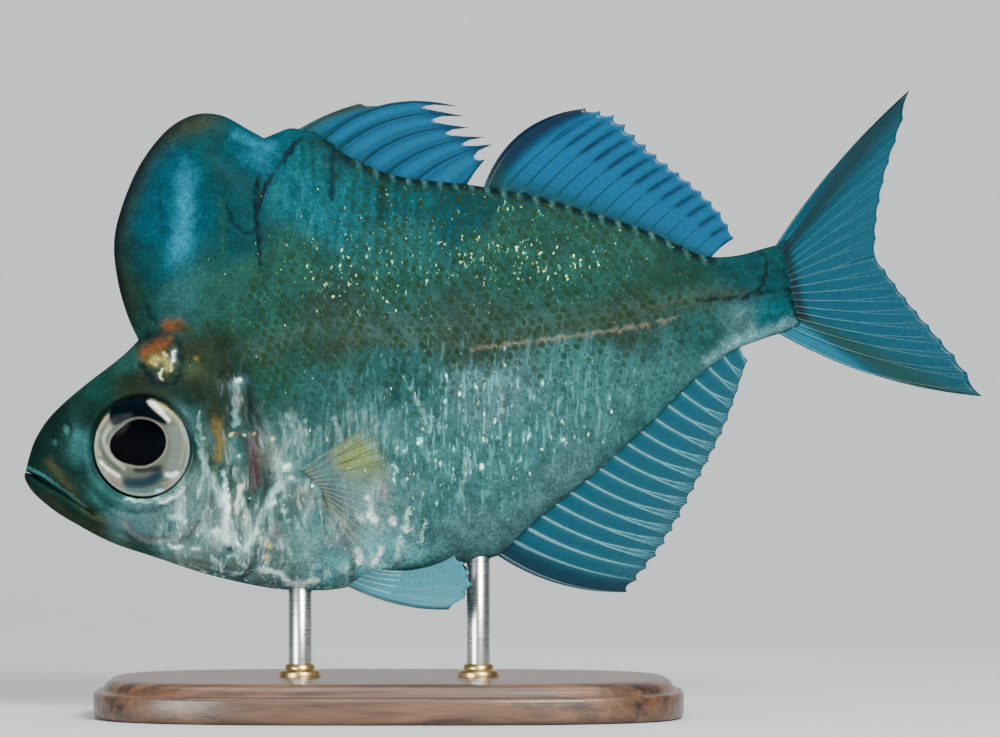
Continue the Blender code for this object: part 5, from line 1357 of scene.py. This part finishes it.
def make_eye(side, word, iris_look, clear_look):
    """The eye: a painted disc, dished round a domed black pupil, under a clear cornea."""
    middle, (tail, up, out) = eye_frame(side)
    rings, steps = 46, 128
    radii = np.linspace(0.0, 1.0, rings + 1)[1:] * DISC_RADIUS
    turn = turns(steps)
    u = np.r_[0.0, (radii[:, None] * np.cos(turn)).ravel()]
    v = np.r_[0.0, (radii[:, None] * np.sin(turn)).ravel()]
    reach = np.hypot(u - PUPIL[0], v - PUPIL[1]) / pupil_edge(np.arctan2(v - PUPIL[1], u - PUPIL[0]))
    away = np.hypot(u, v) / DISC_RADIUS
    height = 1.25 + 0.55 * np.sqrt(np.maximum(1 - away**2, 0.0))
    dome = 0.26 * np.sqrt(np.maximum(1 - np.minimum(reach, 1.0) ** 2, 0.0))
    height += dome - 0.20 * smooth(1.10, 0.98, reach)
    height += 0.07 * bell(reach - 1.13, 0.09) - 1.2 * smooth(0.95, 1.0, away) ** 2
    colours, silver, sweep, spread = iris_paint(u, v)
    count = len(u)
    u, v = np.r_[u, u[-steps:], 0.0], np.r_[v, v[-steps:], 0.0]
    height = np.r_[height, np.full(steps, -0.9), -1.6]
    fish = middle + u[:, None] * tail + v[:, None] * up + height[:, None] * out
    eye = add_mesh(f"eyeball_{word}", to_world(fish), joined_rings(rings + 1, steps), look=iris_look)
    turn_inside_out_if_needed(eye)
    dark = np.zeros((steps + 1, 3)) + 0.01
    set_attribute(eye.data, "tint", "FLOAT_COLOR", np.vstack([colours, dark]))
    set_attribute(eye.data, "silver", "FLOAT", np.r_[silver, np.zeros(steps + 1)])
    polar = np.column_stack([sweep, spread, np.zeros(count)])
    set_attribute(eye.data, "round_and_out", "FLOAT_VECTOR", np.vstack([polar, np.zeros((steps + 1, 3))]))

    dome_rings = 16
    wall = 0.16
    shells = []
    for inset in (0.0, wall):
        radius = EYE_RADIUS - 0.06 - inset
        lift = np.linspace(math.pi / 2, 0.0, dome_rings + 1)
        shells.append([(radius * math.cos(t), 0.75 + (1.55 - inset) * math.sin(t)) for t in lift])
    profile = shells[0] + shells[1][::-1]
    points = [middle + profile[0][1] * out]
    for radius, level in profile[1:-1]:
        points += [middle + radius * (math.cos(t) * tail + math.sin(t) * up) + level * out for t in turn]
    points.append(middle + profile[-1][1] * out)
    faces = joined_rings(len(profile) - 2, steps)
    cornea = add_mesh(f"cornea_{word}", to_world(points), faces, look=clear_look)
    turn_inside_out_if_needed(cornea)
    return eye, cornea


def joined_rings(count, sides):
    """The faces of a closed round piece: its points are an end, count rings of points, and an end."""
    faces = [(0, 1 + (i + 1) % sides, 1 + i) for i in range(sides)]
    for first in range(1, 1 + (count - 1) * sides, sides):
        for i in range(sides):
            j = (i + 1) % sides
            faces.append((first + i, first + j, first + sides + j, first + sides + i))
    top = 1 + (count - 1) * sides
    faces += [(top + sides, top + i, top + (i + 1) % sides) for i in range(sides)]
    return faces


def turn_inside_out_if_needed(piece):
    """Makes a closed mesh's faces point outwards."""
    mesh = piece.data
    mesh.calc_loop_triangles()
    places = places_of(mesh)
    corners = places[np.array([t.vertices for t in mesh.loop_triangles])]
    if np.einsum("ij,ij->i", corners[:, 0], np.cross(corners[:, 1], corners[:, 2])).sum() < 0:
        mesh.flip_normals()


# The fins


class Fin:
    """A fin's surface, through its rays: place(v, t) is a point at ray number v and share t of its length."""

    def __init__(self, name, rays, side=1):
        self.name = name
        self.side = side
        self.steps = 33
        share = np.linspace(0.0, 1.0, self.steps)
        self.rays = np.array([along(ray, share) for ray in rays])
        self.lengths = np.linalg.norm(np.diff(self.rays, axis=1), axis=2).sum(1)

    def place(self, v, t):
        v = np.clip(np.asarray(v, float), 0.0, len(self.rays) - 1)
        t = np.clip(np.asarray(t, float), 0.0, 1.0)
        i = np.minimum(v.astype(int), len(self.rays) - 2)
        k = np.minimum((t * (self.steps - 1)).astype(int), self.steps - 2)
        fv, ft = (v - i)[..., None], (t * (self.steps - 1) - k)[..., None]
        low = self.rays[i, k] * (1 - ft) + self.rays[i, k + 1] * ft
        high = self.rays[i + 1, k] * (1 - ft) + self.rays[i + 1, k + 1] * ft
        return low * (1 - fv) + high * fv

    def across(self, v, t):
        """The direction out of the fin's surface."""
        step = 0.02
        along_v = self.place(v + step, t) - self.place(v - step, t)
        along_t = self.place(v, t + step) - self.place(v, t - step)
        normal = np.cross(along_v, along_t)
        return normal / np.maximum(np.linalg.norm(normal, axis=-1, keepdims=True), 1e-9)

    def mirrored(self, fish):
        fish = fish.copy()
        fish[..., 1] *= self.side
        return fish


def make_web(fin, look, paint, notch, half, between=5, down=26):
    """The web of a fin, scooped out at the margin between rays."""
    columns = np.linspace(0, len(fin.rays) - 1, (len(fin.rays) - 1) * between + 1)
    share = np.linspace(0.0, 1.0, down)
    v, t = np.meshgrid(columns, share, indexing="ij")
    part = v - np.floor(v)
    reach = 1 - notch * 4 * part * (1 - part)
    t = t * reach
    middle = fin.place(v, t)
    normal = fin.across(v, t)
    thick = half * (1 - 0.55 * t)[..., None]
    front, back = middle + normal * thick, middle - normal * thick
    fish = fin.mirrored(np.vstack([front.reshape(-1, 3), back.reshape(-1, 3)]))
    wide, tall = v.shape
    other = wide * tall
    faces = []
    for i in range(wide - 1):
        for k in range(tall - 1):
            p = i * tall + k
            faces.append((p, p + tall, p + tall + 1, p + 1))
            faces.append((other + p, other + p + 1, other + p + tall + 1, other + p + tall))
    border = [i * tall for i in range(wide)] + [(wide - 1) * tall + k for k in range(1, tall)]
    border += [i * tall + tall - 1 for i in range(wide - 2, -1, -1)] + list(range(tall - 2, 0, -1))
    for p, q in zip(border, border[1:] + border[:1]):
        faces.append((q, p, other + p, other + q))
    web = add_mesh(f"{fin.name}_web", to_world(fish), faces, look=look)
    turn_inside_out_if_needed(web)
    colours, cover = paint(np.r_[v.ravel(), v.ravel()], np.r_[t.ravel(), t.ravel()], fish, False)
    set_attribute(web.data, "tint", "FLOAT_COLOR", colours)
    set_attribute(web.data, "cover", "FLOAT", cover)
    return web


# How far a ray's two halves end up from its middle, as a share of the way to the next ray
HALF_FORK = 0.13


def make_rays(fin, look, tree, paint, thickness, spines, forks_at, notch, spacing=0.30):
    """The rays of a fin: smooth tapering spines, then jointed rays that fork twice."""
    points, edges, radii, ray_v, ray_t = [], [], [], [], []
    last = len(fin.rays) - 1

    def add_line(v, t, radius):
        part = v - np.floor(v)
        t = t * (1 - 1.1 * notch * 4 * part * (1 - part))
        first = len(points)
        points.extend(fin.place(v, t))
        edges.extend((first + i, first + i + 1) for i in range(len(t) - 1))
        radii.extend(radius)
        ray_v.extend(v)
        ray_t.extend(t)

    for i in range(last + 1):
        base = thickness[i]
        steps = max(6, int(fin.lengths[i] / spacing))
        if i < spines:
            t = np.linspace(0.0, 1.0, steps)
            add_line(np.full(steps, float(i)), t, base * (1 - 0.86 * t**1.1))
            continue
        first_fork, second_fork = forks_at
        stretches = [
            (0.0, first_fork, (0.0,)), (first_fork, second_fork, (-HALF_FORK, HALF_FORK)),
            (second_fork, 1.0, (-0.3, -0.1, 0.1, 0.3)),
        ]
        for low, high, forks in stretches:
            count = max(4, int(steps * (high - low)))
            t = np.linspace(low, high, count)
            joint = 1 - 0.16 * (np.arange(count) % 2) * (t > 0.18)
            for fork in forks:
                start = 0.0 if len(forks) == 2 else math.copysign(HALF_FORK, fork)
                start *= len(forks) > 1
                turn = i + start + (fork - start) * (t - low) / (high - low)
                shrink = {1: 1.0, 2: 0.72, 4: 0.52}[len(forks)]
                add_line(np.clip(turn, 0, last), t, base * shrink * (1 - 0.42 * t) * joint)
    fish = fin.mirrored(np.array(points))
    source = add_mesh(f"{fin.name}_lines", to_world(fish), edges=edges)
    set_attribute(source.data, "thickness", "FLOAT", np.array(radii) * MM)
    set_attribute(source.data, "ray_v", "FLOAT", ray_v)
    set_attribute(source.data, "ray_t", "FLOAT", ray_t)
    rays = grown(source, tree, f"{fin.name}_rays", Material=look)
    v, t = get_attribute(rays.data, "ray_v"), get_attribute(rays.data, "ray_t")
    colours, cover = paint(v, t, to_fish(places_of(rays.data)), True)
    set_attribute(rays.data, "tint", "FLOAT_COLOR", colours)
    set_attribute(rays.data, "cover", "FLOAT", cover)
    drop_attributes(rays.data, "thickness", "ray_v", "ray_t")
    return rays


RAY_STEPS = 14


def bowed(root, tip, bow):
    """A ray from root to tip in the side view, arched sideways by bow times its length."""
    root, tip = np.array(root, float), np.array(tip, float)
    t = np.linspace(0.0, 1.0, RAY_STEPS)[:, None]
    run = tip - root
    sideways = np.array([-run[1], run[0]])
    flat = root + t * run + 4 * bow * t * (1 - t) * sideways
    return np.column_stack([flat[:, 0], np.zeros(RAY_STEPS), flat[:, 1]])


def rim_between(first_a, last_a, line_knots):
    """The body's edge between two places along the fish, moved in so that a fin's roots are let into it."""
    let_in = 0.35
    edge = offset(spline(line_knots), let_in)
    if edge[0, 0] > edge[-1, 0]:
        edge = edge[::-1]
    return evenly(edge[(edge[:, 0] >= first_a) & (edge[:, 0] <= last_a)], 0.25)


CLEAR_BLUE = (0.0, 0.086, 0.190)
NIGHT_BLUE = (0.0, 0.007, 0.021)
DUSKY_GREEN = (0.004, 0.040, 0.034)
FIN_TEAL = (0.002, 0.096, 0.130)


def base_colours(count, colour):
    return np.tile(np.array(colour, float), (count, 1))


def paint_spiny(v, t, fish, on_ray):
    """The first back fin: dark tips, and a dark olive first spine."""
    part = np.abs(v - np.round(v))
    colours = base_colours(len(v), (0.002, 0.036, 0.060) if on_ray else CLEAR_BLUE)
    if not on_ray:
        # Painted shade in the web beside each ray, and a painted highlight further out between the rays
        colours = blend(colours, (0.0, 0.036, 0.075), 0.8 * bell(part - 0.16, 0.07))
        colours = blend(colours, (0.002, 0.115, 0.200), 0.6 * bell(part - 0.34, 0.10))
    tips = smooth(0.66, 0.94, t) * smooth(0.4, 1.4, v)
    colours = blend(colours, NIGHT_BLUE, 0.90 * tips)
    front = smooth(0.95, 0.2, v)
    colours = blend(colours, (0.010, 0.060, 0.060), 0.85 * front)
    colours = blend(colours, BARK, 0.60 * front * smooth(0.2, 0.7, t))
    colours = blend(colours, DUSKY_GREEN, 0.6 * smooth(0.12, 0.0, t))
    cover = 0.93 + 0.07 * np.maximum(tips, front)
    return colours, np.clip(cover + 0.1 * on_ray, 0.0, 1.0)


def paint_soft(v, t, fish, on_ray):
    """The second back fin: dashes of night blue along its rays, and a dark foot with pale beads."""
    colours = base_colours(len(v), (0.0, 0.050, 0.100) if on_ray else CLEAR_BLUE)
    lead = smooth(0.85, 0.45, v)
    dashes = smooth(0.50, 0.62, t) * smooth(0.96, 0.86, t) * (0.5 + 0.5 * smooth(0.0, 3.0, v))
    part = np.abs(v - np.round(v))
    close = bell(part, 0.17)
    colours = blend(colours, NIGHT_BLUE, (0.92 if on_ray else 0.85 * close) * dashes)
    colours = blend(colours, NIGHT_BLUE, 0.92 * lead)
    low = smooth(0.34, 0.02, t)
    colours = blend(colours, DUSKY_GREEN, 0.75 * low)
    roots = smooth(0.10, 0.0, t)
    colours = blend(colours, INK, 0.75 * roots * smooth(0.16, 0.36, part))
    colours = blend(colours, PALE_TEAL, 0.6 * roots * smooth(0.16, 0.04, part))
    cover = 0.92 + 0.08 * lead + 0.2 * low + 0.2 * dashes * close
    return colours, np.clip(cover + 0.2 * on_ray, 0.0, 1.0)


def paint_anal(v, t, fish, on_ray):
    """The fin under the tail: pale rays between dark lines, and dark front spines."""
    part = np.abs(v - np.round(v))
    if on_ray:
        colours = base_colours(len(v), (0.075, 0.245, 0.285))
        colours = blend(colours, FIN_TEAL, 0.55 * smooth(0.75, 1.0, t))
    else:
        colours = base_colours(len(v), FIN_TEAL)
        # Painted shade in the web between the rays, and a painted highlight along each ray
        colours = blend(colours, (0.0, 0.026, 0.060), 0.85 * bell(part - 0.30, 0.13))
        colours = blend(colours, (0.03, 0.15, 0.20), 0.50 * bell(part, 0.15))
    colours = blend(colours, NIGHT_BLUE, 0.80 * smooth(1.7, 0.2, v))
    colours = blend(colours, NIGHT_BLUE, 0.35 * smooth(0.9, 1.0, t))
    cover = 0.93 + 0.07 * smooth(1.6, 0.4, v) + 0.15 * smooth(0.25, 0.0, t) - 0.08 * smooth(0.5, 1.0, t)
    return colours, np.clip(cover + 0.2 * on_ray, 0.0, 1.0)


def paint_caudal(v, t, fish, on_ray):
    """The tail fin: a dark band along each lobe, and a dark line at its root."""
    a, b = fish[:, 0], fish[:, 2]
    colours = base_colours(len(v), (0.005, 0.090, 0.122) if on_ray else (0.0, 0.058, 0.098))
    angle = np.degrees(np.arctan2(np.abs(b + 0.2), np.maximum(a - 76.5, 0.1)))
    out = np.hypot(a - 76.5, b)
    band = bell(angle - np.where(b > 0, 40.5, 43.5), 5.2) * smooth(3.0, 6.5, out)
    shade = np.where(b > 0, 1.0, 0.8)
    dark = np.where(b[:, None] > 0, np.array([[0.0, 0.019, 0.024]]), np.array([[0.006, 0.032, 0.016]]))
    colours = colours + (dark - colours) * np.clip(0.92 * band * shade, 0, 1)[:, None]
    below = (b < 0) * smooth(47.5, 52.0, angle)
    colours = blend(colours, (0.006, 0.130, 0.200), 0.75 * below)
    colours = blend(colours, INK, 0.85 * bell(a - 80.4, 0.55) * (np.abs(b) < 4.2))
    colours = blend(colours, PALE_TEAL, 0.35 * on_ray * bell(angle, 22.0))
    cover = 0.93 + 0.07 * band + 0.20 * smooth(83.0, 80.0, a)
    return colours, np.clip(cover + 0.2 * on_ray, 0.0, 1.0)


def paint_pectoral(v, t, fish, on_ray):
    """The side fin: clear, with an olive patch over its upper rays."""
    colours = base_colours(len(v), (0.44, 0.50, 0.42) if on_ray else (0.22, 0.30, 0.26))
    patch = bell(v - 1.9, 2.4) * smooth(0.30, 0.52, t)
    olive = (0.030, 0.044, 0.006) if on_ray else (0.34, 0.42, 0.055)
    colours = blend(colours, olive, 0.95 * patch)
    colours = blend(colours, INK, 0.5 * smooth(0.07, 0.0, t))
    cover = (0.18 + 0.62 * patch) if on_ray else (0.05 + 0.40 * patch) * smooth(1.0, 0.72, t)
    return colours, np.clip(cover + 0.40 * smooth(0.2, 0.0, t), 0.0, 1.0)


def paint_pelvic(v, t, fish, on_ray):
    """The belly fin: pale rays on blue-green."""
    part = np.abs(v - np.round(v))
    colours = base_colours(len(v), (0.20, 0.46, 0.50) if on_ray else (0.02, 0.23, 0.29))
    if not on_ray:
        # Painted shade in the web beside each ray
        colours = blend(colours, (0.006, 0.140, 0.195), 0.7 * bell(part - 0.22, 0.10))
    colours = blend(colours, NIGHT_BLUE, 0.75 * smooth(0.35, 0.1, v))
    colours = blend(colours, GREY_TEAL, 0.6 * smooth(0.3, 0.0, t))
    return colours, np.full(len(v), 0.95 if on_ray else 0.84)


def spiny_fin():
    edge = rim_between(34.6, 51.0, BACK_LINE)
    share = np.array([0.0, 0.13, 0.23, 0.38, 0.53, 0.70, 0.98])
    roots = along(edge, share)
    tips = [(41.7, 27.9), (51.2, 25.3), (51.6, 24.2), (51.9, 22.9), (53.2, 21.6), (53.8, 20.7), (52.7, 19.4)]
    bows = [0.04, 0.13, 0.12, 0.11, 0.09, 0.07, 0.03]
    return Fin("dorsal_fin_spiny", [bowed(r, t, bow) for r, t, bow in zip(roots, tips, bows)])


def even_fin(name, edge, margin, count, bow, lead_bow):
    """A fin whose rays run evenly from the body's edge to its margin, the first of them bowed more."""
    share = np.linspace(0.0, 1.0, count)
    ends = zip(along(edge, share), along(spline(margin), share))
    return Fin(name, [bowed(root, tip, bow + lead_bow * (i == 0)) for i, (root, tip) in enumerate(ends)])


def soft_fin():
    margin = [
        (64.0, 22.0), (66.6, 20.7), (68.3, 18.1), (70.2, 15.3), (72.3, 12.6), (73.8, 10.4), (75.0, 8.0),
        (75.5, 5.6),
    ]
    return even_fin("dorsal_fin_soft", rim_between(51.6, 72.6, BACK_LINE), margin, 15, 0.05, 0.11)


def anal_fin():
    margin = [
        (56.4, -26.9), (58.2, -25.6), (60.4, -23.9), (63.2, -21.1), (65.7, -18.2), (68.1, -15.4),
        (70.2, -12.8), (71.9, -10.2), (73.0, -8.3), (73.9, -6.9),
    ]
    return even_fin("anal_fin", rim_between(44.4, 73.6, FACE_LINE), margin, 18, -0.05, -0.03)


def caudal_fin(word):
    root_a = TAIL_END - 0.5
    upper_roots = [(root_a, level) for level in np.linspace(3.7, 0.0, 9)]
    lower_roots = [(77.8, -4.85), (79.0, -4.6)] + [(root_a, level) for level in np.linspace(-4.3, 0.0, 8)]
    upper_margin = [(96.4, 16.0), (94.9, 12.9), (92.3, 8.7), (90.3, 4.4), (89.1, 0.4)]
    lower_margin = [(96.3, -16.0), (95.0, -12.2), (93.2, -8.6), (91.2, -4.6), (89.1, 0.4)]
    roots, margin, bow = {
        "upper": (upper_roots, upper_margin, 0.035),
        "lower": (lower_roots, lower_margin, -0.055),
    }[word]
    last = len(roots) - 1
    tips = along(spline(margin), np.linspace(0.0, 1.0, last + 1) ** 0.85)
    rays = [bowed(root, tip, bow * (1 - i / last)) for i, (root, tip) in enumerate(zip(roots, tips))]
    return Fin(f"caudal_fin_{word}", rays)


def pectoral_fin(side, word):
    count = 13
    base = spline([(27.3, -7.0), (28.1, -8.3), (28.8, -9.7), (29.0, -11.1)])
    points = along(base, np.linspace(0.0, 1.0, count))
    roots = [(a, float(half_thickness(a, b)) + 0.15, b) for a, b in points]
    spread = np.radians(2.0 + np.linspace(20.0, -72.0, count))
    lengths = 12.6 - 4.4 * np.linspace(-0.35, 1.0, count) ** 2
    splay = math.radians(49.0)
    rays = []
    for root, turn, length in zip(roots, spread, lengths):
        flat = math.cos(splay)
        heading = np.array([math.cos(turn) * flat, math.sin(splay), math.sin(turn) * flat])
        t = np.linspace(0.0, 1.0, RAY_STEPS)[:, None]
        rays.append(np.array(root) + t * length * heading + np.array([0.03, -0.16, 0.0]) * (t**2) * length)
    return Fin(f"pectoral_fin_{word}", rays, side)


def belly_level(a, c):
    """The level b of the belly's surface at a and c, found by halving."""
    low, high = -24.0, -8.0
    for _ in range(40):
        middle = (low + high) / 2
        within = half_thickness(a, middle) > c and inside(OUTLINE, np.array(a), np.array(middle))
        low, high = (low, middle) if within else (middle, high)
    return high


def pelvic_fin(side, word):
    count = 6
    roots = [(28.6 + 0.62 * i, 1.0 + 0.16 * i) for i in range(count)]
    roots = [(a, c, belly_level(a, c + 0.2) + 0.2) for a, c in roots]
    spread = [-26.0, -20.5, -15.5, -11.0, -7.0, -4.0]
    lengths = [11.4, 12.4, 12.4, 11.6, 10.4, 9.0]
    splay = math.radians(17.0)
    rays = []
    for root, turn, length in zip(roots, np.radians(spread), lengths):
        heading = np.array([math.cos(turn) * math.cos(splay), math.sin(splay), math.sin(turn)])
        t = np.linspace(0.0, 1.0, RAY_STEPS)[:, None]
        rays.append(np.array(root) + t * length * heading + (t - t**2) * np.array([0.0, 0.0, -3.2]))
    return Fin(f"pelvic_fin_{word}", rays, side)


# Half the thickness of a fin's web, and where along its length a ray forks
WEB = 0.07
THIN_WEB = 0.05
FORKS = (0.46, 0.74)
EARLY_FORKS = (0.12, 0.36)


def make_fin(fin, node, paint, looks, tree, spines, root_thickness, notch, half=WEB, forks_at=FORKS):
    """A fin's web and rays, in place of its solid."""
    web_look, ray_look = looks
    count = len(fin.rays)
    thickness = root_thickness * (1 - 0.25 * np.arange(count) / count)
    thickness[:spines] *= 1.35
    web = make_web(fin, web_look, paint, notch, half)
    rays = make_rays(fin, ray_look, tree, paint, thickness, spines, forks_at, notch)
    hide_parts(node)
    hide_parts(node)
    return [web, rays]


# The stand


def make_base(look):
    """The base: an oval board with a moulded edge."""
    low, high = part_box("stand_base")
    length, width, height = (high[i] - low[i] for i in range(3))
    count = 160
    squareness = 3.2
    profile = [
        (0.0, 0.55), (0.12, 0.2), (0.35, 0.04), (0.7, 0.0), (2.3, 0.0), (2.5, 0.06), (2.62, 0.2),
        (2.68, 0.42), (2.74, 0.85), (2.85, 1.0), (3.2, 1.1), (3.55, 1.35), (3.8, 1.75), (3.93, 2.2),
        (4.0, 2.8), (4.0, 6.0), (4.0, 12.0),
    ]
    points = [(0.0, 0.0, 0.0)]
    for level, inset in profile:
        for turn in turns(count):
            x, y = math.cos(turn), math.sin(turn)
            square = (abs(x) ** squareness + abs(y) ** squareness) ** (-1 / squareness)
            along_x, along_y = length / 2 - inset * MM, width / 2 - inset * MM
            points.append((along_x * x * square, along_y * y * square, level * MM))
    points.append((0.0, 0.0, height))
    base = add_mesh("walnut_base", points, joined_rings(len(profile), count), look=look)
    base.data.set_sharp_from_angle(angle=math.radians(50))
    return base


def turned_piece(name, x, profile, look, sides=40):
    """A round piece about an upright line at x, from (radius, height) in millimetres, closed at both ends."""
    points = [(x * MM, 0.0, profile[0][1] * MM)]
    for radius, level in profile:
        points += [
            ((x + radius * math.cos(t)) * MM, radius * math.sin(t) * MM, level * MM)
            for t in turns(sides)
        ]
    points.append((x * MM, 0.0, profile[-1][1] * MM))
    made = add_mesh(name, points, joined_rings(len(profile), sides), look=look)
    made.data.set_sharp_from_angle(angle=math.radians(50))
    return made


# How far the rods run on past their solids, so that no gap shows
INTO_BASE = 0.4
INTO_BELLY = 0.9


def make_rods(steel, brass):
    """The two rods, let into the belly, each in a small brass collar on the base."""
    made = []
    for word in ("front", "rear"):
        low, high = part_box(f"stand_rod_{word}")
        x = (low[0] + high[0]) / 2 / MM
        radius = (high[0] - low[0]) / 2 / MM
        foot, top = low[2] / MM - INTO_BASE, high[2] / MM + INTO_BELLY
        bar = [(radius, foot), (radius, top - 0.3), (radius - 0.3, top)]
        rod = turned_piece(f"steel_rod_{word}", x, bar, steel)
        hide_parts(f"stand_rod_{word}")
        wide = radius + 0.95
        collar = [
            (wide, 0.05), (wide, 0.5), (wide - 0.12, 0.68), (wide - 0.4, 0.78), (radius + 0.35, 0.86),
            (radius + 0.3, 1.25), (radius + 0.1, 1.4), (radius - 0.2, 1.4),
        ]
        ring = turned_piece(f"brass_collar_{word}", x, [(r, foot + level) for r, level in collar], brass)
        made += [rod, ring]
    return made


# The room


def make_room():
    """A pale floor that sweeps up behind the fish, soft lights and the camera."""
    wide, near_edge, far, turn_radius, high, under = 1.6, -1.2, 0.55, 0.35, 1.5, 0.00002
    profile = [(near_edge, 0.0), (far - turn_radius, 0.0)]
    for turn in np.linspace(0.0, math.pi / 2, 16)[1:]:
        profile.append((far - turn_radius + turn_radius * math.sin(turn), turn_radius * (1 - math.cos(turn))))
    profile.append((far, high))
    points = [(x, y, z - under) for y, z in profile for x in (-wide, wide)]
    faces = [(2 * i, 2 * i + 1, 2 * i + 3, 2 * i + 2) for i in range(len(profile) - 1)]
    floor = add_mesh("floor", points, faces, look=backdrop_material((0.47, 0.483, 0.490)))

    world = bpy.data.worlds.new("soft_room")
    world.use_nodes = True
    world.node_tree.nodes["Background"].inputs["Color"].default_value = (0.90, 0.95, 1.0, 1.0)
    world.node_tree.nodes["Background"].inputs["Strength"].default_value = 0.155
    bpy.context.scene.world = world
    lights = [
        ("key", (0.22, -0.46, 0.34), 0.24, 8.0, (1.0, 0.98, 0.95)),
        ("fill", (-0.42, -0.48, 0.14), 0.36, 4.7, (0.94, 0.98, 1.0)),
        ("top", (0.0, 0.00, 0.62), 0.60, 4.0, (1.0, 1.0, 1.0)),
    ]
    for name, place, size, power, colour in lights:
        light = bpy.data.lights.new(name, "AREA")
        light.shape = "DISK"
        light.size = size
        light.energy = power
        light.color = colour
        made = bpy.data.objects.new(name, light)
        made.location = place
        aim = Vector((0.005, 0.0, 0.035)) - Vector(place)
        made.rotation_euler = aim.to_track_quat("-Z", "Y").to_euler()
        made.visible_camera = False
        bpy.context.scene.collection.objects.link(made)

    camera = bpy.data.cameras.new("camera")
    camera.sensor_width = SENSOR_WIDTH
    camera.lens = SENSOR_WIDTH * CAMERA_DISTANCE / PICTURE_WIDTH
    camera.clip_start = 0.01
    camera.clip_end = 10.0
    made = bpy.data.objects.new("camera", camera)
    made.location = (PICTURE_MIDDLE[0] * MM, -CAMERA_DISTANCE * MM, PICTURE_MIDDLE[1] * MM)
    made.rotation_euler = (math.pi / 2, 0.0, 0.0)
    bpy.context.scene.collection.objects.link(made)
    bpy.context.scene.camera = made


GROUPS = {}


def build():
    for fill in (mottle, foil, streaks):
        GROUPS[fill.__name__] = mask_group(fill.__name__, fill, Scale=1000.0)
    GROUPS["glints"] = mask_group("glints", glints, Scale=4000.0, Share=0.5, Softness=0.05)
    skin_look = wet_material("wet_skin", 3200.0, 0.74)
    scale_look = wet_material("scale_gloss", 3600.0, 0.66)
    looks = fin_material("clear_web", 0.30), fin_material("fin_ray", 0.35)
    make_room()

    skin = make_skin(skin_look)
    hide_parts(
        "head", "lower_jaw", "nuchal_hump", "trunk", "tail_peduncle", "gill_cover_left",
        "gill_cover_right",
    )
    pieces = [skin]

    scales = scale_tree()
    plate = plate_object()
    for side, word in ((-1, "left"), (1, "right")):
        coat = make_scales(side, word, scale_look, scales, plate)
        pieces.append(coat)
    bpy.data.objects.remove(plate)

    iris, clear = iris_material(), clear_material()
    for side, word in ((-1, "left"), (1, "right")):
        eye, cornea = make_eye(side, word, iris, clear)
        for piece in (eye, cornea):
            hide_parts(f"eye_{word}")
        pieces += [eye, cornea]

    rays = ray_tree()
    pieces += make_fin(spiny_fin(), "dorsal_fin_spiny", paint_spiny, looks, rays, 7, 0.19, 0.26)
    pieces += make_fin(soft_fin(), "dorsal_fin_soft", paint_soft, looks, rays, 1, 0.15, 0.05)
    pieces += make_fin(anal_fin(), "anal_fin", paint_anal, looks, rays, 3, 0.23, 0.035)
    for word in ("upper", "lower"):
        pieces += make_fin(caudal_fin(word), f"caudal_fin_{word}", paint_caudal, looks, rays, 0, 0.19, 0.02)
    for side, word in ((-1, "left"), (1, "right")):
        pectoral, pelvic = pectoral_fin(side, word), pelvic_fin(side, word)
        pieces += make_fin(pectoral, pectoral.name, paint_pectoral, looks, rays, 0, 0.10, 0.03, THIN_WEB)
        pieces += make_fin(
            pelvic, pelvic.name, paint_pelvic, looks, rays, 1, 0.12, 0.03, THIN_WEB, EARLY_FORKS,
        )

    base = make_base(walnut_material())
    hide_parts("stand_base")
    pieces.append(base)
    steel = metal_material("brushed_steel_rod", (0.62, 0.62, 0.61), 0.28)
    pieces += make_rods(steel, metal_material("old_brass", (0.55, 0.38, 0.16), 0.32))

    for piece in pieces:
        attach(piece, "root")


build()
